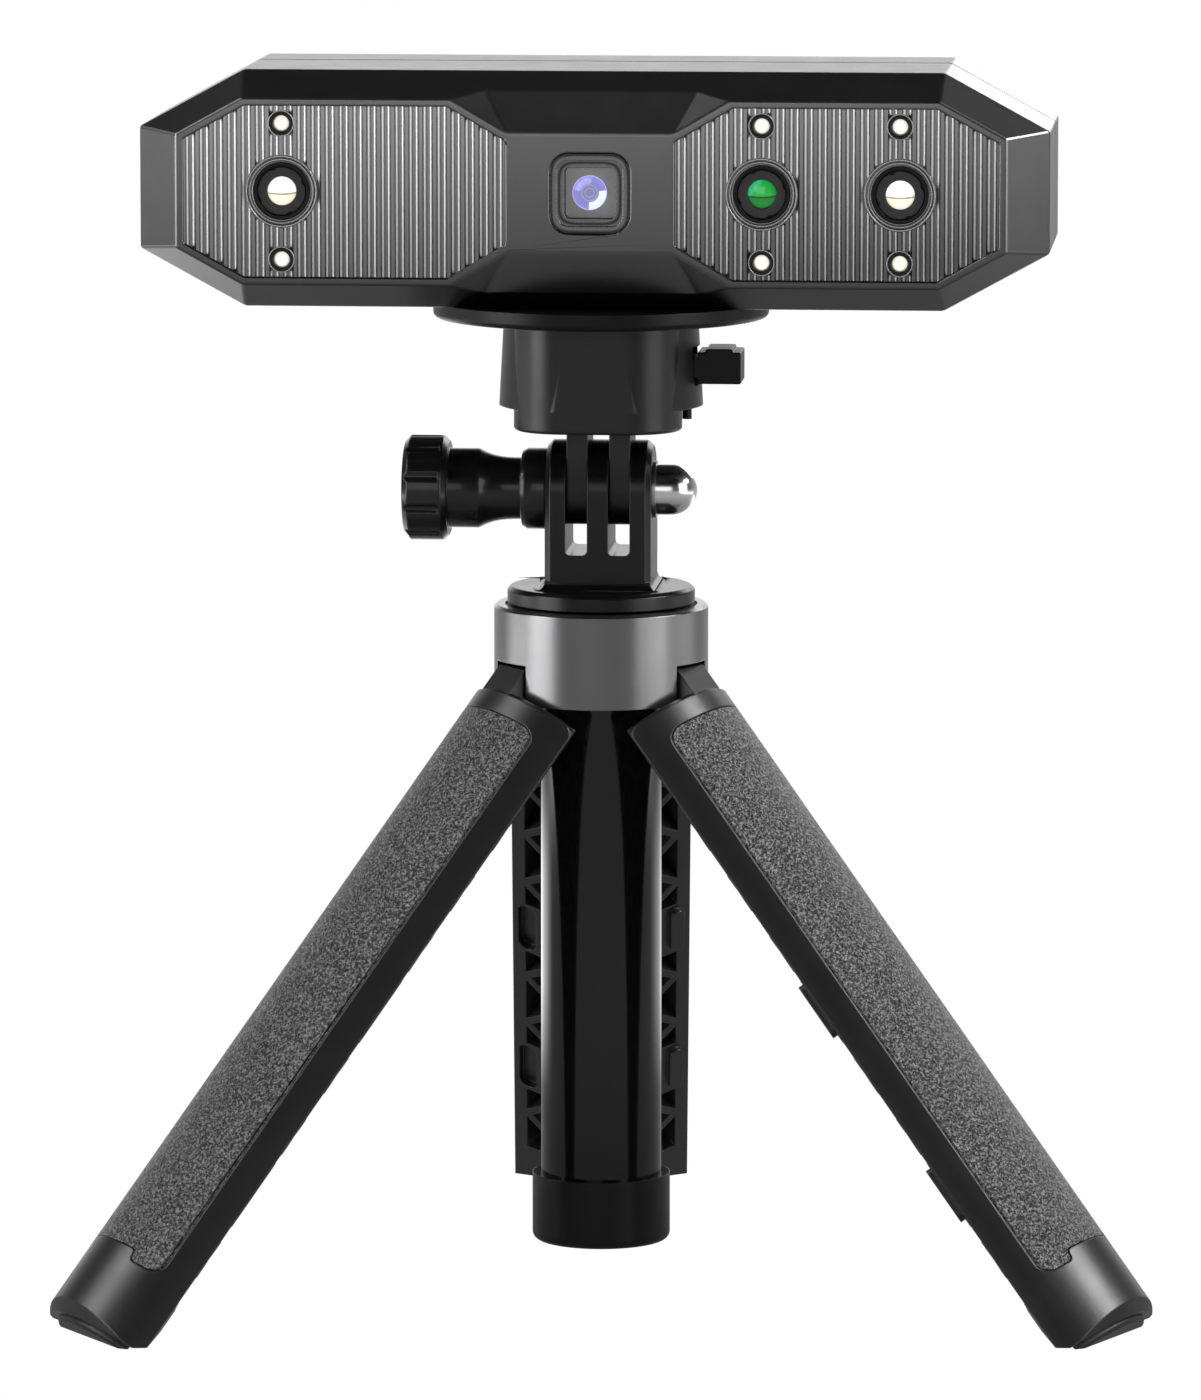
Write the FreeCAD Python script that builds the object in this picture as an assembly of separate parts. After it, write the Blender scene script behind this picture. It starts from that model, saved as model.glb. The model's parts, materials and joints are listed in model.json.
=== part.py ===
import FreeCAD, Part
import math
import os

V = FreeCAD.Vector

# A compact 3D scanner head on a quick-release socket, a three-prong knuckle and a folding mini tripod.
# Millimetres. The origin is on the table, under the tripod's axis; +Z is up and -Y is the scanner's front.

# Tripod legs. Lengths along a leg are measured down from its hinge, with the leg folded.
splay_angle = 40.0
leg_count = 3
rear_leg_azimuth = 90.0
leg_radius = 14.85
hinge_rim = 3.85
leg_wall = 2.2
leg_top = 4.6
leg_top_thick = 3.0
leg_end = 109.7
leg_gap = 0.3
shoulder_round = 1.8
shoulder_step = 1.2
shoulder_chamfer = 0.5
end_chamfer_length = 1.7
end_chamfer_depth = 1.25
end_chamfer_shift = 5.0
foot_block = 8.8
foot_inner_radius = 4.5
foot_lift = 0.6
column_clearance = 0.4

# Truss ribs inside each leg, and the tabs and slots that key the folded legs together.
rib_pitch = 10.27
rib_start = 6.2
rib_thick = 1.1
first_tab = 47.5
tab_pitch = 3 * rib_pitch
tab_count = 2
tab_length = 8.5
tab_width = 2.2
tab_proud = 0.75
tab_rim = 1.35
tab_clearance = 0.35
tab_wall = 1.6

# Grip inlays and foot pads.
grip_thick = 0.9
grip_half_angle = 42.9
grip_top = 8.0
grip_bottom = 98.0
grip_lobe = 1.65
grip_notch_share = 0.55
grip_corner = 2.0
grip_step_share = 0.45
grip_gap = 0.12
pad_rim = 2.05
pad_inset = 2.2
pad_inner_radius = 6.0
pad_seat = 0.6
pad_proud = 0.8
pad_edge = 0.4
pad_flat_reach = 8.9

# Leg necks and their hinge pins.
neck_width = 7.0
barrel_radius = 2.3
pin_radius = 1.0
pin_length = 10.4
pin_clearance = 0.05
neck_inner_drop = 2.0
neck_rim = 0.4
neck_shoulder = 0.9

# Collar sleeve and the hub inside it.
sleeve_wall = 1.5
sleeve_above_hinge = 9.6
sleeve_below_hinge = 3.5
sleeve_slot_width = 7.9
sleeve_slot_above = 2.1
tongue_chamfer_width = 2.2
tongue_chamfer_height = 0.8
sleeve_edge = 0.4
hub_slot_width = 7.3
hub_slot_above = 2.8
hub_below_hinge = 2.6
hub_top_gap = 0.3

# Centre column and the pole that slides in it.
leg_room = 6.475
tube_wall = 1.175
tube_above_hinge = 5.0
tube_below_hinge = 77.94
cap_wall = 1.225
cap_height = 9.5
cap_floor = 2.0
cap_round = 1.1
pole_wall = 1.0
bush_wall = 1.15
slide_clearance = 0.05
bush_length = 8.0
stop_height = 4.0
pole_end_gap = 1.0
pole_head = 4.0

# Pan disc and three-prong fork.
disc_gap = 0.18
disc_rim = 1.85
disc_thick = 2.35
disc_edge = 0.5
stub_wall = 2.0
stub_clearance = 0.05
clip_thick = 0.5
clip_clearance = 0.1
clip_seat_depth = 0.8
stub_tail = 0.8
finger_thick = 2.9
finger_gap = 3.0
fork_radius = 6.9
fork_chamfer = 0.8
fork_foot = 1.1
pivot_above_disc = 13.35
slot_floor_drop = 8.5
slot_floor_round = 0.7
bolt_radius = 2.5
bolt_clearance = 0.05

# Thumbscrew, washer and cap nut.
knob_start = 0.05
knob_collar_radius = 5.65
knob_collar_length = 3.5
knob_waist_radius = 4.3
knob_waist_length = 6.0
knob_neck_radius = 5.53
knob_neck_length = 4.1
knob_head_radius = 7.28
knob_head_length = 6.2
knob_chamfer = 0.8
knob_groove_count = 10
knob_groove_radius = 0.75
knob_groove_depth = 0.45
knob_land = 1.1
washer_radius = 4.0
washer_thick = 0.4
nut_radius = 3.55
nut_straight = 2.0
nut_depth = 4.2
bolt_head_depth = 12.0

# Quick-release socket with its two fingers.
block_half_width = 11.6
block_half_depth = 13.0
block_corner = 7.5
block_bottom = 8.85
block_height = 15.2
collar_bottom = 11.85
collar_top_radius = 13.45
collar_bottom_radius = 14.1
male_radius = 4.9
male_side_gap = 0.05
block_edge = 0.5

# Flange under the head, its spigot and screw.
flange_radius = 23.2
flange_thick = 2.3
flange_round = 0.8
spigot_half = 7.5
spigot_corner = 1.5
spigot_length = 8.4
spigot_clearance = 0.15
screw_radius = 3.1
screw_reach = 6.3
screw_head_radius = 5.2
screw_head_height = 2.4
screw_head_sunk = 1.0
coin_slot = 1.2

# Release latch: a plate that passes round the spigot, with its push button on the right.
latch_travel = 1.6
latch_low = 15.85
latch_thick = 2.8
latch_side_gap = 0.1
latch_rail = 1.0
latch_corner = 2.0
latch_lip = 2.1
latch_bite = 0.7
latch_clearance = 0.2
button_half_depth = 4.0
button_low = 15.1
button_high = 19.95
button_inner = 13.6
button_outer = 19.6
button_step = 1.15
button_step_drop = 0.45
spring_radius = 0.75
spring_wire = 0.15
spring_turns = 4
spring_pocket = 1.4
spring_bore = 1.0
stop_pin_radius = 0.65
stop_pin_place = 12.05
stop_pin_depth = -2.0
stop_pin_low = 10.1
shroud_back = 5.0

# Scanner head.
head_yaw = -4.7
head_width = 124.7
head_height = 32.5
front_face = 19.3
head_back = 20.0
bevel_depth = 6.2
bevel_side = 5.7
bevel_top = 3.53
bevel_corner = 3.29
corner_run = 14.4
corner_angle = 28.7
rear_chamfer = 2.4
split_plane = 6.0
split_groove = 0.3
shell_wall = 1.8
front_wall = 3.3
waist_half_height = 8.04
waist_half_width = 11.2
waist_angle = 30.2
waist_facet_depth = 2.1
waist_facet_rise = 5.8
waist_facet_spread = 3.2
waist_reach = 1.6

# Ribbed panels.
panel_border = 1.05
panel_inner_edge = 0.4
panel_set_back = 0.12
panel_thick = 1.4
panel_rib_count = 23
panel_corner = 0.5
panel_groove_share = 0.76
panel_groove_depth = 0.48

# Optics.
camera_from_end = 20.15
projector_share = 0.5545
barrel_outer = 3.65
barrel_fit = 0.05
barrel_set_back = 0.35
barrel_mouth = 3.1
barrel_throat = 2.15
barrel_cone_depth = 1.3
barrel_stop_wall = 0.4
lens_radius = 2.05
lens_thick = 0.8
lens_bulge = 0.3
ring_outer = 5.0
ring_middle = 4.35
ring_depth = 0.55
lamp_offset = 9.3
lamp_ring_radius = 1.65
lamp_ring_wall = 0.6
lamp_length = 2.4
lamp_set_back = 0.05
lamp_dome_share = 0.7

# Centre camera window.
window_steps = (10.9, 9.05, 7.0)
window_corners = (2.6, 1.6, 0.8)
window_step_depth = 0.5
bezel_back = 2.6
glass_thick = 0.8
glass_gap = 0.1
window_set_back = 0.05
color_lens_radius = 2.38
color_lens_thick = 1.0
color_lens_bulge = 0.35
color_lens_drop = 0.4
color_barrel_radius = 3.0

# Inside the head.
frame_front = 9.0
frame_thick = 2.0
frame_end = 4.8
frame_half_height = 8.0
frame_corner = 2.0
frame_slot_half = 3.0
module_half = 4.5
module_depth = 6.0
module_can_share = 0.8
module_corner = 0.5
standoff_share = 0.6
standoff_radius = 2.0
board_front = 8.6
board_thick = 1.6
board_end_gap = 18.35
board_half_height = 11.0
board_corner = 1.5
chip_count = 3
chip_half = 5.5
chip_shrink = 0.8
chip_corner = 0.4
chip_height = 1.2
chip_sunk = 0.1
chip_start_share = 0.545
chip_pitch = 17.0
board_post_from_edge = 6.0
board_post_height = 8.5
board_post_radius = 2.0
screw_post_from_end = 10.35
screw_post_height = 7.0
screw_post_radius = 2.4
post_root = 0.2
cover_lip_wall = 0.6
cover_screw_radius = 0.8
cover_screw_head = 1.7
cover_screw_head_height = 1.2
cover_screw_sunk = 0.4
cover_screw_length = 16.0
insert_radius = 4.5
insert_length = 7.0
insert_bore = 3.175
insert_boss = 5.8
port_place = 30.0
port_width = 9.0
port_height = 3.3
port_wall = 0.35
port_fit = 0.2
port_tongue = 0.7
port_set_back = 0.3
push_radius = 4.0
push_proud = 0.6
push_travel = 0.8
push_gap = 0.15
push_flange = 0.6
push_flange_thick = 0.8
push_slack = 0.4
push_rest = 0.02
push_dish = 0.35
push_seat_share = 0.6
stem_radius = 1.2
stem_gap = 0.2
switch_half = 3.0
switch_depth = 3.4
switch_corner = 0.4
switch_clearance = 0.1
status_place = -11.0
status_radius = 1.0
status_set_back = 0.1

# Heights and places worked out from the sizes above.
leg_step = 360.0 / leg_count
half_wedge = leg_step / 2
hinge_radius = leg_radius - hinge_rim
neck_inner_radius = hinge_radius - neck_inner_drop
pad_end = leg_end + pad_proud
splay = math.radians(splay_angle)
hinge_z = pad_end * math.cos(splay) - (pad_flat_reach - hinge_radius) * math.sin(splay)
tab_outer_radius = leg_radius - tab_rim
pad_radius = leg_radius - pad_rim
neck_outer_radius = leg_radius - neck_rim
sleeve_top = hinge_z + sleeve_above_hinge
sleeve_bottom = hinge_z - sleeve_below_hinge
sleeve_inner = leg_radius - sleeve_wall
tube_top = hinge_z + tube_above_hinge
tube_bottom = hinge_z - tube_below_hinge
tube_radius = leg_radius - leg_room
tube_inner = tube_radius - tube_wall
cap_radius = tube_radius + cap_wall
pole_radius = tube_inner - bush_wall - slide_clearance
stub_radius = pole_radius - stub_wall
clip_outer_radius = pole_radius - pole_wall - clip_clearance
clip_seat_radius = stub_radius - clip_seat_depth
disc_radius = leg_radius - disc_rim
latch_half_depth = spigot_half + latch_rail + latch_side_gap
cap_bottom = tube_bottom - cap_floor
pole_top = sleeve_top + disc_gap
disc_top = pole_top + disc_thick
pivot_z = disc_top + pivot_above_disc
ribs_inner = cap_radius + column_clearance
block_top = block_bottom + block_height
head_bottom = block_top + flange_thick
head_z = head_bottom + head_height / 2
finger_pitch = finger_thick + finger_gap
fork_half = finger_thick / 2 + finger_pitch
bolt_bore = bolt_radius + bolt_clearance
half_width = head_width / 2
half_height = head_height / 2
camera_place = half_width - camera_from_end
projector_place = projector_share * camera_place
standoff_place = standoff_share * projector_place
frame_half_width = camera_place + frame_end
screw_post_place = half_width - screw_post_from_end
board_half_width = half_width - board_end_gap
board_post_place = board_half_width - board_post_from_edge
chip_place = -chip_start_share * board_half_width
cut_out = 0.5


def box(x, y, z):
    """Box between pairs of limits along X, Y and Z."""
    return Part.makeBox(x[1] - x[0], y[1] - y[0], z[1] - z[0], V(x[0], y[0], z[0]))


def rod(radius, low, high, x=0.0, y=0.0):
    """Upright cylinder between two heights."""
    return Part.makeCylinder(radius, high - low, V(x, y, low))


def ring(outer, inner, low, high):
    """Upright tube between two heights."""
    return rod(outer, low, high).cut(rod(inner, low - cut_out, high + cut_out))


def turned(profile):
    """Solid of revolution about Z from (radius, height) points."""
    points = [V(r, 0, z) for r, z in profile]
    face = Part.Face(Part.makePolygon(points + points[:1]))
    return face.revolve(V(0, 0, 0), V(0, 0, 1), 360)


def rounded_wire(points, radii):
    """Closed outline in the XY plane with each corner rounded by a tangent arc."""
    count = len(points)
    starts = []
    ends = []
    for i in range(count):
        corner = V(points[i][0], points[i][1], 0)
        back = (V(points[i - 1][0], points[i - 1][1], 0) - corner).normalize()
        ahead = points[(i + 1) % count]
        front = (V(ahead[0], ahead[1], 0) - corner).normalize()
        half = back.getAngle(front) / 2
        reach = radii[i] / math.tan(half)
        starts.append(corner + back * reach)
        ends.append(corner + front * reach)
    edges = []
    for i in range(count):
        if radii[i] > 0:
            corner = V(points[i][0], points[i][1], 0)
            inward = ((starts[i] + ends[i]) * 0.5 - corner).normalize()
            half = (starts[i] - corner).getAngle(ends[i] - corner) / 2
            middle = corner + inward * (radii[i] / math.sin(half) - radii[i])
            edges.append(Part.Arc(starts[i], middle, ends[i]).toShape())
        edges.append(Part.LineSegment(ends[i], starts[(i + 1) % count]).toShape())
    return Part.Wire(edges)


def plate(wire, low, high):
    """Flat outline from the XY plane raised between two heights."""
    face = Part.Face(wire)
    face.translate(V(0, 0, low))
    return face.extrude(V(0, 0, high - low))


def polygon(points):
    """Closed straight-sided outline in the XY plane."""
    corners = [V(x, y, 0) for x, y in points]
    return Part.makePolygon(corners + corners[:1])


def rectangle(half_x, half_y, radius):
    """Outline of a rectangle about the origin with rounded corners."""
    corners = [(-half_x, -half_y), (half_x, -half_y), (half_x, half_y), (-half_x, half_y)]
    return rounded_wire(corners, [radius] * 4)


def rotated(shape, angle, axis, centre=V(0, 0, 0)):
    """Copy turned about an axis by an angle in degrees."""
    copy = shape.copy()
    copy.rotate(centre, axis, angle)
    return copy


def moved(shape, x=0.0, y=0.0, z=0.0):
    """Copy moved by the given steps."""
    copy = shape.copy()
    copy.translate(V(x, y, z))
    return copy


def along_x(shape):
    """Upright shape laid along +X."""
    return rotated(shape, 90, V(0, 1, 0))


def facing_front(shape):
    """Upright shape laid so that its top points to the scanner's front; outline heights stay up."""
    return rotated(shape, 90, V(1, 0, 0))


def mirrored(shape):
    """Copy on the other side of the head's centre plane."""
    return shape.mirror(V(0, 0, 0), V(1, 0, 0))


def joined(shapes):
    """One solid fused from several."""
    return shapes[0].fuse(shapes[1:]).removeSplitter()


def on_fork(shape):
    """Place a knuckle or head part, drawn about the pivot, at its height and yaw."""
    return rotated(moved(shape, z=pivot_z), head_yaw, V(0, 0, 1))


def in_head(shape):
    """Place a part drawn about the scanner's centre."""
    return on_fork(moved(shape, z=head_z))


# Tripod legs: drawn folded, hinge at height zero, outward along +X.

def wedge(gap, low, high):
    """One leg's share of the circle, its two flanks set back by a gap."""
    start = gap / math.sin(math.radians(half_wedge))
    reach = 3 * leg_radius
    across = reach * math.tan(math.radians(half_wedge))
    outline = [(start, 0), (start + reach, -across), (start + reach, across)]
    return plate(polygon(outline), low, high)


def leg_outline(half_span, top, bottom, top_round):
    """Flat outline across the leg, carried radially through it."""
    corners = [(-bottom, -half_span), (-top, -half_span), (-top, half_span), (-bottom, half_span)]
    outline = rounded_wire(corners, [0, top_round, top_round, 0])
    sheet = plate(outline, 0, 2 * leg_radius)
    return rotated(sheet, -90, V(0, 1, 0)).mirror(V(0, 0, 0), V(1, 0, 0))


def rib_lattice():
    """Crossed diagonal ribs between the leg's wall and the column."""
    low = leg_end - foot_block
    high = leg_top + leg_top_thick
    inner_wall = leg_radius - leg_wall
    span = 2 * inner_wall * math.sin(math.radians(half_wedge))
    slope = math.degrees(math.atan2(2 * rib_pitch, span))
    count = int((low - high) / rib_pitch) + 3
    ribs = []
    for i in range(count):
        height = rib_start - leg_end + (i - 1) * rib_pitch
        bar = box((0, leg_radius), (-2 * span, 2 * span), (-rib_thick / 2, rib_thick / 2))
        for turn in (slope, -slope):
            ribs.append(moved(rotated(bar, turn, V(1, 0, 0)), z=height))
    space = ring(inner_wall + rib_thick / 2, ribs_inner, -low, -high)
    space = space.common(wedge(leg_gap / 2, -low, -high))
    return ribs[0].fuse(ribs[1:]).common(space)


def tab_blank(side, grow, depth, proud):
    """Bar lying on one flank of the leg, for a tab, its backing or a slot."""
    outer = tab_outer_radius + grow
    inner = tab_outer_radius - tab_width - grow
    half = tab_length / 2 + grow
    centre = (outer + inner) / 2
    bar = plate(rectangle((outer - inner) / 2, half, (outer - inner) / 2 - 0.05), -depth, proud)
    bar = moved(rotated(bar, 90, V(1, 0, 0)), x=centre)
    turn = side * half_wedge
    if side > 0:
        bar = bar.mirror(V(0, 0, 0), V(0, 1, 0))
    set_back = side * leg_gap / 2
    return rotated(moved(bar, y=-set_back), turn, V(0, 0, 1))


def leg_neck():
    """Hinge barrel and neck that joins it to the leg's shoulder."""
    barrel_top = barrel_radius * 0.6
    barrel_side = barrel_radius * 0.8
    outline = [
        (neck_inner_radius, -leg_top - cut_out),
        (neck_outer_radius, -leg_top - cut_out),
        (neck_outer_radius, -neck_shoulder),
        (hinge_radius + barrel_side, barrel_top),
        (hinge_radius, 0),
        (hinge_radius - barrel_side, -barrel_top),
    ]
    web = rotated(plate(polygon(outline), -neck_width / 2, neck_width / 2), 90, V(1, 0, 0))
    barrel = rotated(rod(barrel_radius, -neck_width / 2, neck_width / 2), 90, V(1, 0, 0))
    bore = rotated(rod(pin_radius + pin_clearance, -neck_width, neck_width), 90, V(1, 0, 0))
    return joined([web, moved(barrel, x=hinge_radius)]).cut(moved(bore, x=hinge_radius))


def grip_outline(depth_gap):
    """Outline of the grip inlay carried radially: square at the top, two lobes at the bottom."""
    reach = leg_radius * math.sin(math.radians(grip_half_angle))
    half = reach - depth_gap
    top = -grip_top - depth_gap
    bottom = -grip_bottom + depth_gap
    lobe = bottom - grip_lobe
    notch = reach * grip_notch_share + depth_gap
    points = [
        (top, -half),
        (top, half),
        (lobe, half),
        (lobe, notch),
        (bottom, notch),
        (bottom, -notch),
        (lobe, -notch),
        (lobe, -half),
    ]
    big = grip_corner
    small = grip_lobe * grip_step_share
    wire = rounded_wire(points, [big, big, big, small, small, small, small, big])
    sheet = rotated(plate(wire, 0, 2 * leg_radius), 90, V(0, 1, 0))
    return sheet.mirror(V(0, 0, 0), V(0, 0, 1))


def folded_grip():
    """Textured inlay flush with the leg's outer face."""
    skin = ring(leg_radius, leg_radius - grip_thick, -leg_end, 0)
    return skin.common(grip_outline(grip_gap))


def pad_blank(grow):
    """Foot pad before its flat is cut, or the seat for it."""
    radius = pad_radius + grow
    low = -pad_end
    profile = [
        (pad_inner_radius - grow, low + pad_edge),
        (pad_inner_radius - grow + pad_edge, low),
        (radius - pad_edge, low),
        (radius, low + pad_edge),
        (radius, -leg_end + pad_seat),
        (pad_inner_radius - grow, -leg_end + pad_seat),
    ]
    return turned(profile).common(wedge(pad_inset - grow, low, -leg_end + pad_seat))


def end_chamfer():
    """Slanting cut round the leg's foot, deepest at the middle and gone before the flanks."""
    radius = leg_radius + end_chamfer_shift
    profile = [
        (radius - end_chamfer_depth, -leg_end),
        (radius - end_chamfer_depth, -leg_end - cut_out),
        (radius + leg_radius, -leg_end - cut_out),
        (radius + leg_radius, -leg_end + end_chamfer_length),
        (radius, -leg_end + end_chamfer_length),
    ]
    return moved(turned(profile), x=-end_chamfer_shift)


def folded_leg():
    """Leg shell with shoulder, neck, ribs, foot block, keys and the seats for grip and pad."""
    profile = [
        (foot_inner_radius, -leg_end),
        (leg_radius, -leg_end),
        (leg_radius, -leg_top - shoulder_chamfer),
        (leg_radius - shoulder_chamfer, -leg_top),
        (ribs_inner, -leg_top),
        (ribs_inner, -leg_end + foot_block),
        (foot_inner_radius, -leg_end + foot_block),
    ]
    flank_width = leg_radius * math.sin(math.radians(half_wedge))
    sector = turned(profile).common(wedge(leg_gap / 2, -leg_end, -leg_top))
    core = sector.common(rod(leg_radius - shoulder_step, -leg_end, -leg_top))
    skin = sector.common(leg_outline(flank_width - leg_gap / 2, leg_top, leg_end, shoulder_round))
    sector = joined([skin, core])
    hollow = rod(leg_radius - leg_wall, -leg_end + foot_block, -leg_top - leg_top_thick)
    pieces = [sector.cut(hollow), rib_lattice(), leg_neck()]
    for i in range(tab_count):
        drop = -first_tab - tab_length / 2 - i * tab_pitch
        backing = box((ribs_inner, leg_radius - leg_wall), (leg_gap / 2, tab_wall + tab_clearance),
                      (-rib_pitch / 2, rib_pitch / 2))
        for side in (1, -1):
            block = backing if side < 0 else backing.mirror(V(0, 0, 0), V(0, 1, 0))
            pieces.append(moved(rotated(block, side * half_wedge, V(0, 0, 1)), z=drop))
        pieces.append(moved(tab_blank(-1, 0, cut_out, tab_proud), z=drop))
    leg = joined(pieces)
    for i in range(tab_count):
        drop = -first_tab - tab_length / 2 - i * tab_pitch
        leg = leg.cut(moved(tab_blank(1, tab_clearance, tab_proud + tab_clearance, cut_out), z=drop))
    seat = ring(leg_radius + cut_out, leg_radius - grip_thick, -leg_end, 0).common(grip_outline(0))
    return leg.cut([seat, pad_blank(0), end_chamfer()])


def splayed(shape, azimuth):
    """Leg part swung out to its stop and set at its azimuth."""
    out = moved(rotated(shape, -splay_angle, V(0, 1, 0), V(hinge_radius, 0, 0)), z=hinge_z)
    return rotated(out, azimuth, V(0, 0, 1))


def above(shape, height):
    """What is left of a shape above a level."""
    reach = 3 * leg_end
    return shape.cut(box((-reach, reach), (-reach, reach), (height - reach, height)))


# Collar, hub and column: drawn at their real heights.

def around(shape):
    """The shape and its copies at every leg."""
    return [rotated(shape, rear_leg_azimuth + i * leg_step, V(0, 0, 1)) for i in range(leg_count)]


def collar_sleeve():
    """Metal sleeve with a slot for each leg and chamfered tongues between them."""
    profile = [
        (sleeve_inner, sleeve_bottom),
        (leg_radius, sleeve_bottom),
        (leg_radius, sleeve_top - sleeve_edge),
        (leg_radius - sleeve_edge, sleeve_top),
        (sleeve_inner, sleeve_top),
    ]
    half = sleeve_slot_width / 2
    low = sleeve_bottom - cut_out
    flare = tongue_chamfer_width * (tongue_chamfer_height + cut_out) / tongue_chamfer_height
    outline = [
        (-half - flare, low),
        (half + flare, low),
        (half, sleeve_bottom + tongue_chamfer_height),
        (half, hinge_z + sleeve_slot_above),
        (-half, hinge_z + sleeve_slot_above),
        (-half, sleeve_bottom + tongue_chamfer_height),
    ]
    slot = rotated(plate(polygon(outline), 0, 2 * leg_radius), 90, V(1, 0, 0))
    slot = rotated(slot, 90, V(0, 0, 1))
    return turned(profile).cut(around(slot))


def leg_hub():
    """Moulded hub that fills the sleeve, holds the tube and carries the hinge pins."""
    profile = [
        (tube_radius, hinge_z - hub_below_hinge),
        (sleeve_inner, hinge_z - hub_below_hinge),
        (sleeve_inner, sleeve_top - hub_top_gap),
        (pole_radius + column_clearance, sleeve_top - hub_top_gap),
        (pole_radius + column_clearance, tube_top),
        (tube_radius, tube_top),
    ]
    slot = box((0, 2 * leg_radius), (-hub_slot_width / 2, hub_slot_width / 2),
               (hinge_z - hub_below_hinge - cut_out, hinge_z + hub_slot_above))
    return turned(profile).cut(around(slot)).cut(around(hinge_pin()))


def hinge_pin():
    """Pin across one leg slot."""
    pin = rotated(rod(pin_radius, -pin_length / 2, pin_length / 2), 90, V(1, 0, 0))
    return moved(pin, x=hinge_radius, z=hinge_z)


def column_tube():
    """Outer tube under the collar."""
    return ring(tube_radius, tube_inner, tube_bottom, tube_top)


def column_cap():
    """End cap round the foot of the tube."""
    low = cap_bottom
    high = low + cap_height
    body = rod(cap_radius, low, high)
    rim = [e for e in body.Edges if abs(e.BoundBox.ZMax - low) < 0.01 and e.Length > cap_radius]
    return body.makeFillet(cap_round, rim).cut(rod(tube_radius, tube_bottom, high + cut_out))


def guide_bush():
    """Bush in the mouth of the tube that the pole runs in."""
    return ring(tube_inner, pole_radius + slide_clearance, tube_top - bush_length, tube_top)


def inner_pole():
    """Pole that slides up out of the tube, closed at the top by the pan seat."""
    low = tube_bottom + pole_end_gap
    bore = pole_radius - pole_wall
    outer = rod(pole_radius, low, pole_top - slide_clearance)
    outer = outer.cut(rod(bore, low - cut_out, pole_top - pole_head))
    return outer.cut(rod(stub_radius + stub_clearance, low, pole_top + cut_out))


def pole_stop():
    """Collar at the pole's foot that meets the bush when the pole is fully out."""
    low = tube_bottom + pole_end_gap
    return ring(tube_inner - slide_clearance, pole_radius, low, low + stop_height)


# Fork, thumbscrew and nut: drawn about the pivot.

def finger(x_low, x_high, radius, foot):
    """Knuckle finger: round end about the pivot on a straight shank."""
    low = min(0, foot)
    high = max(0, foot)
    round_end = along_x(rod(radius, x_low, x_high))
    return joined([round_end, box((x_low, x_high), (-radius, radius), (low, high))])


def fork_slot(centre):
    """Gap between two prongs, its floor corners rounded."""
    half = finger_gap / 2
    top = 2 * fork_radius
    corners = [(-half, -slot_floor_drop), (half, -slot_floor_drop), (half, top), (-half, top)]
    outline = rounded_wire(corners, [slot_floor_round, slot_floor_round, 0, 0])
    reach = 2 * fork_radius
    return moved(rotated(plate(outline, -reach, reach), 90, V(1, 0, 0)), x=centre)


def fork_mount():
    """Pan disc with its stub, and the three prongs."""
    floor = -pivot_above_disc
    base = floor - disc_thick
    body = finger(-fork_half, fork_half, fork_radius, floor)
    outer = [e for e in body.Edges
             if abs(e.BoundBox.XMax - e.BoundBox.XMin) < 0.01 and e.BoundBox.ZMax > floor + 0.01]
    body = body.makeChamfer(fork_chamfer, outer)
    foot_reach = fork_foot
    skirt_low = Part.Face(rectangle(fork_half + foot_reach, fork_radius + foot_reach, foot_reach))
    skirt_low.translate(V(0, 0, floor))
    skirt = skirt_low.extrude(V(0, 0, foot_reach))
    hollow = []
    for side in (1, -1):
        edge_x = rotated(rod(foot_reach, -2 * disc_radius, 2 * disc_radius), 90, V(1, 0, 0))
        hollow.append(moved(edge_x, x=side * (fork_half + foot_reach), z=floor + foot_reach))
        edge_y = along_x(rod(foot_reach, -2 * disc_radius, 2 * disc_radius))
        hollow.append(moved(edge_y, y=side * (fork_radius + foot_reach), z=floor + foot_reach))
    skirt = skirt.cut(hollow)
    disc = turned([
        (0, base),
        (disc_radius, base),
        (disc_radius, floor - disc_edge),
        (disc_radius - disc_edge, floor),
        (0, floor),
    ])
    tail = base - pole_head - clip_thick - stub_tail
    stub = turned([
        (0, tail),
        (stub_radius, tail),
        (stub_radius, base - pole_head - clip_thick),
        (clip_seat_radius, base - pole_head - clip_thick),
        (clip_seat_radius, base - pole_head),
        (stub_radius, base - pole_head),
        (stub_radius, base),
        (0, base),
    ])
    body = joined([body, skirt, disc, stub])
    slots = [fork_slot(finger_pitch / 2), fork_slot(-finger_pitch / 2)]
    bore = along_x(rod(bolt_bore, -2 * fork_half, 2 * fork_half))
    return body.cut(slots + [bore])


def pan_clip():
    """Clip in the stub's groove, under the pole's pan seat."""
    high = -pivot_above_disc - disc_thick - pole_head
    return ring(clip_outer_radius, clip_seat_radius, high - clip_thick, high)


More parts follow.
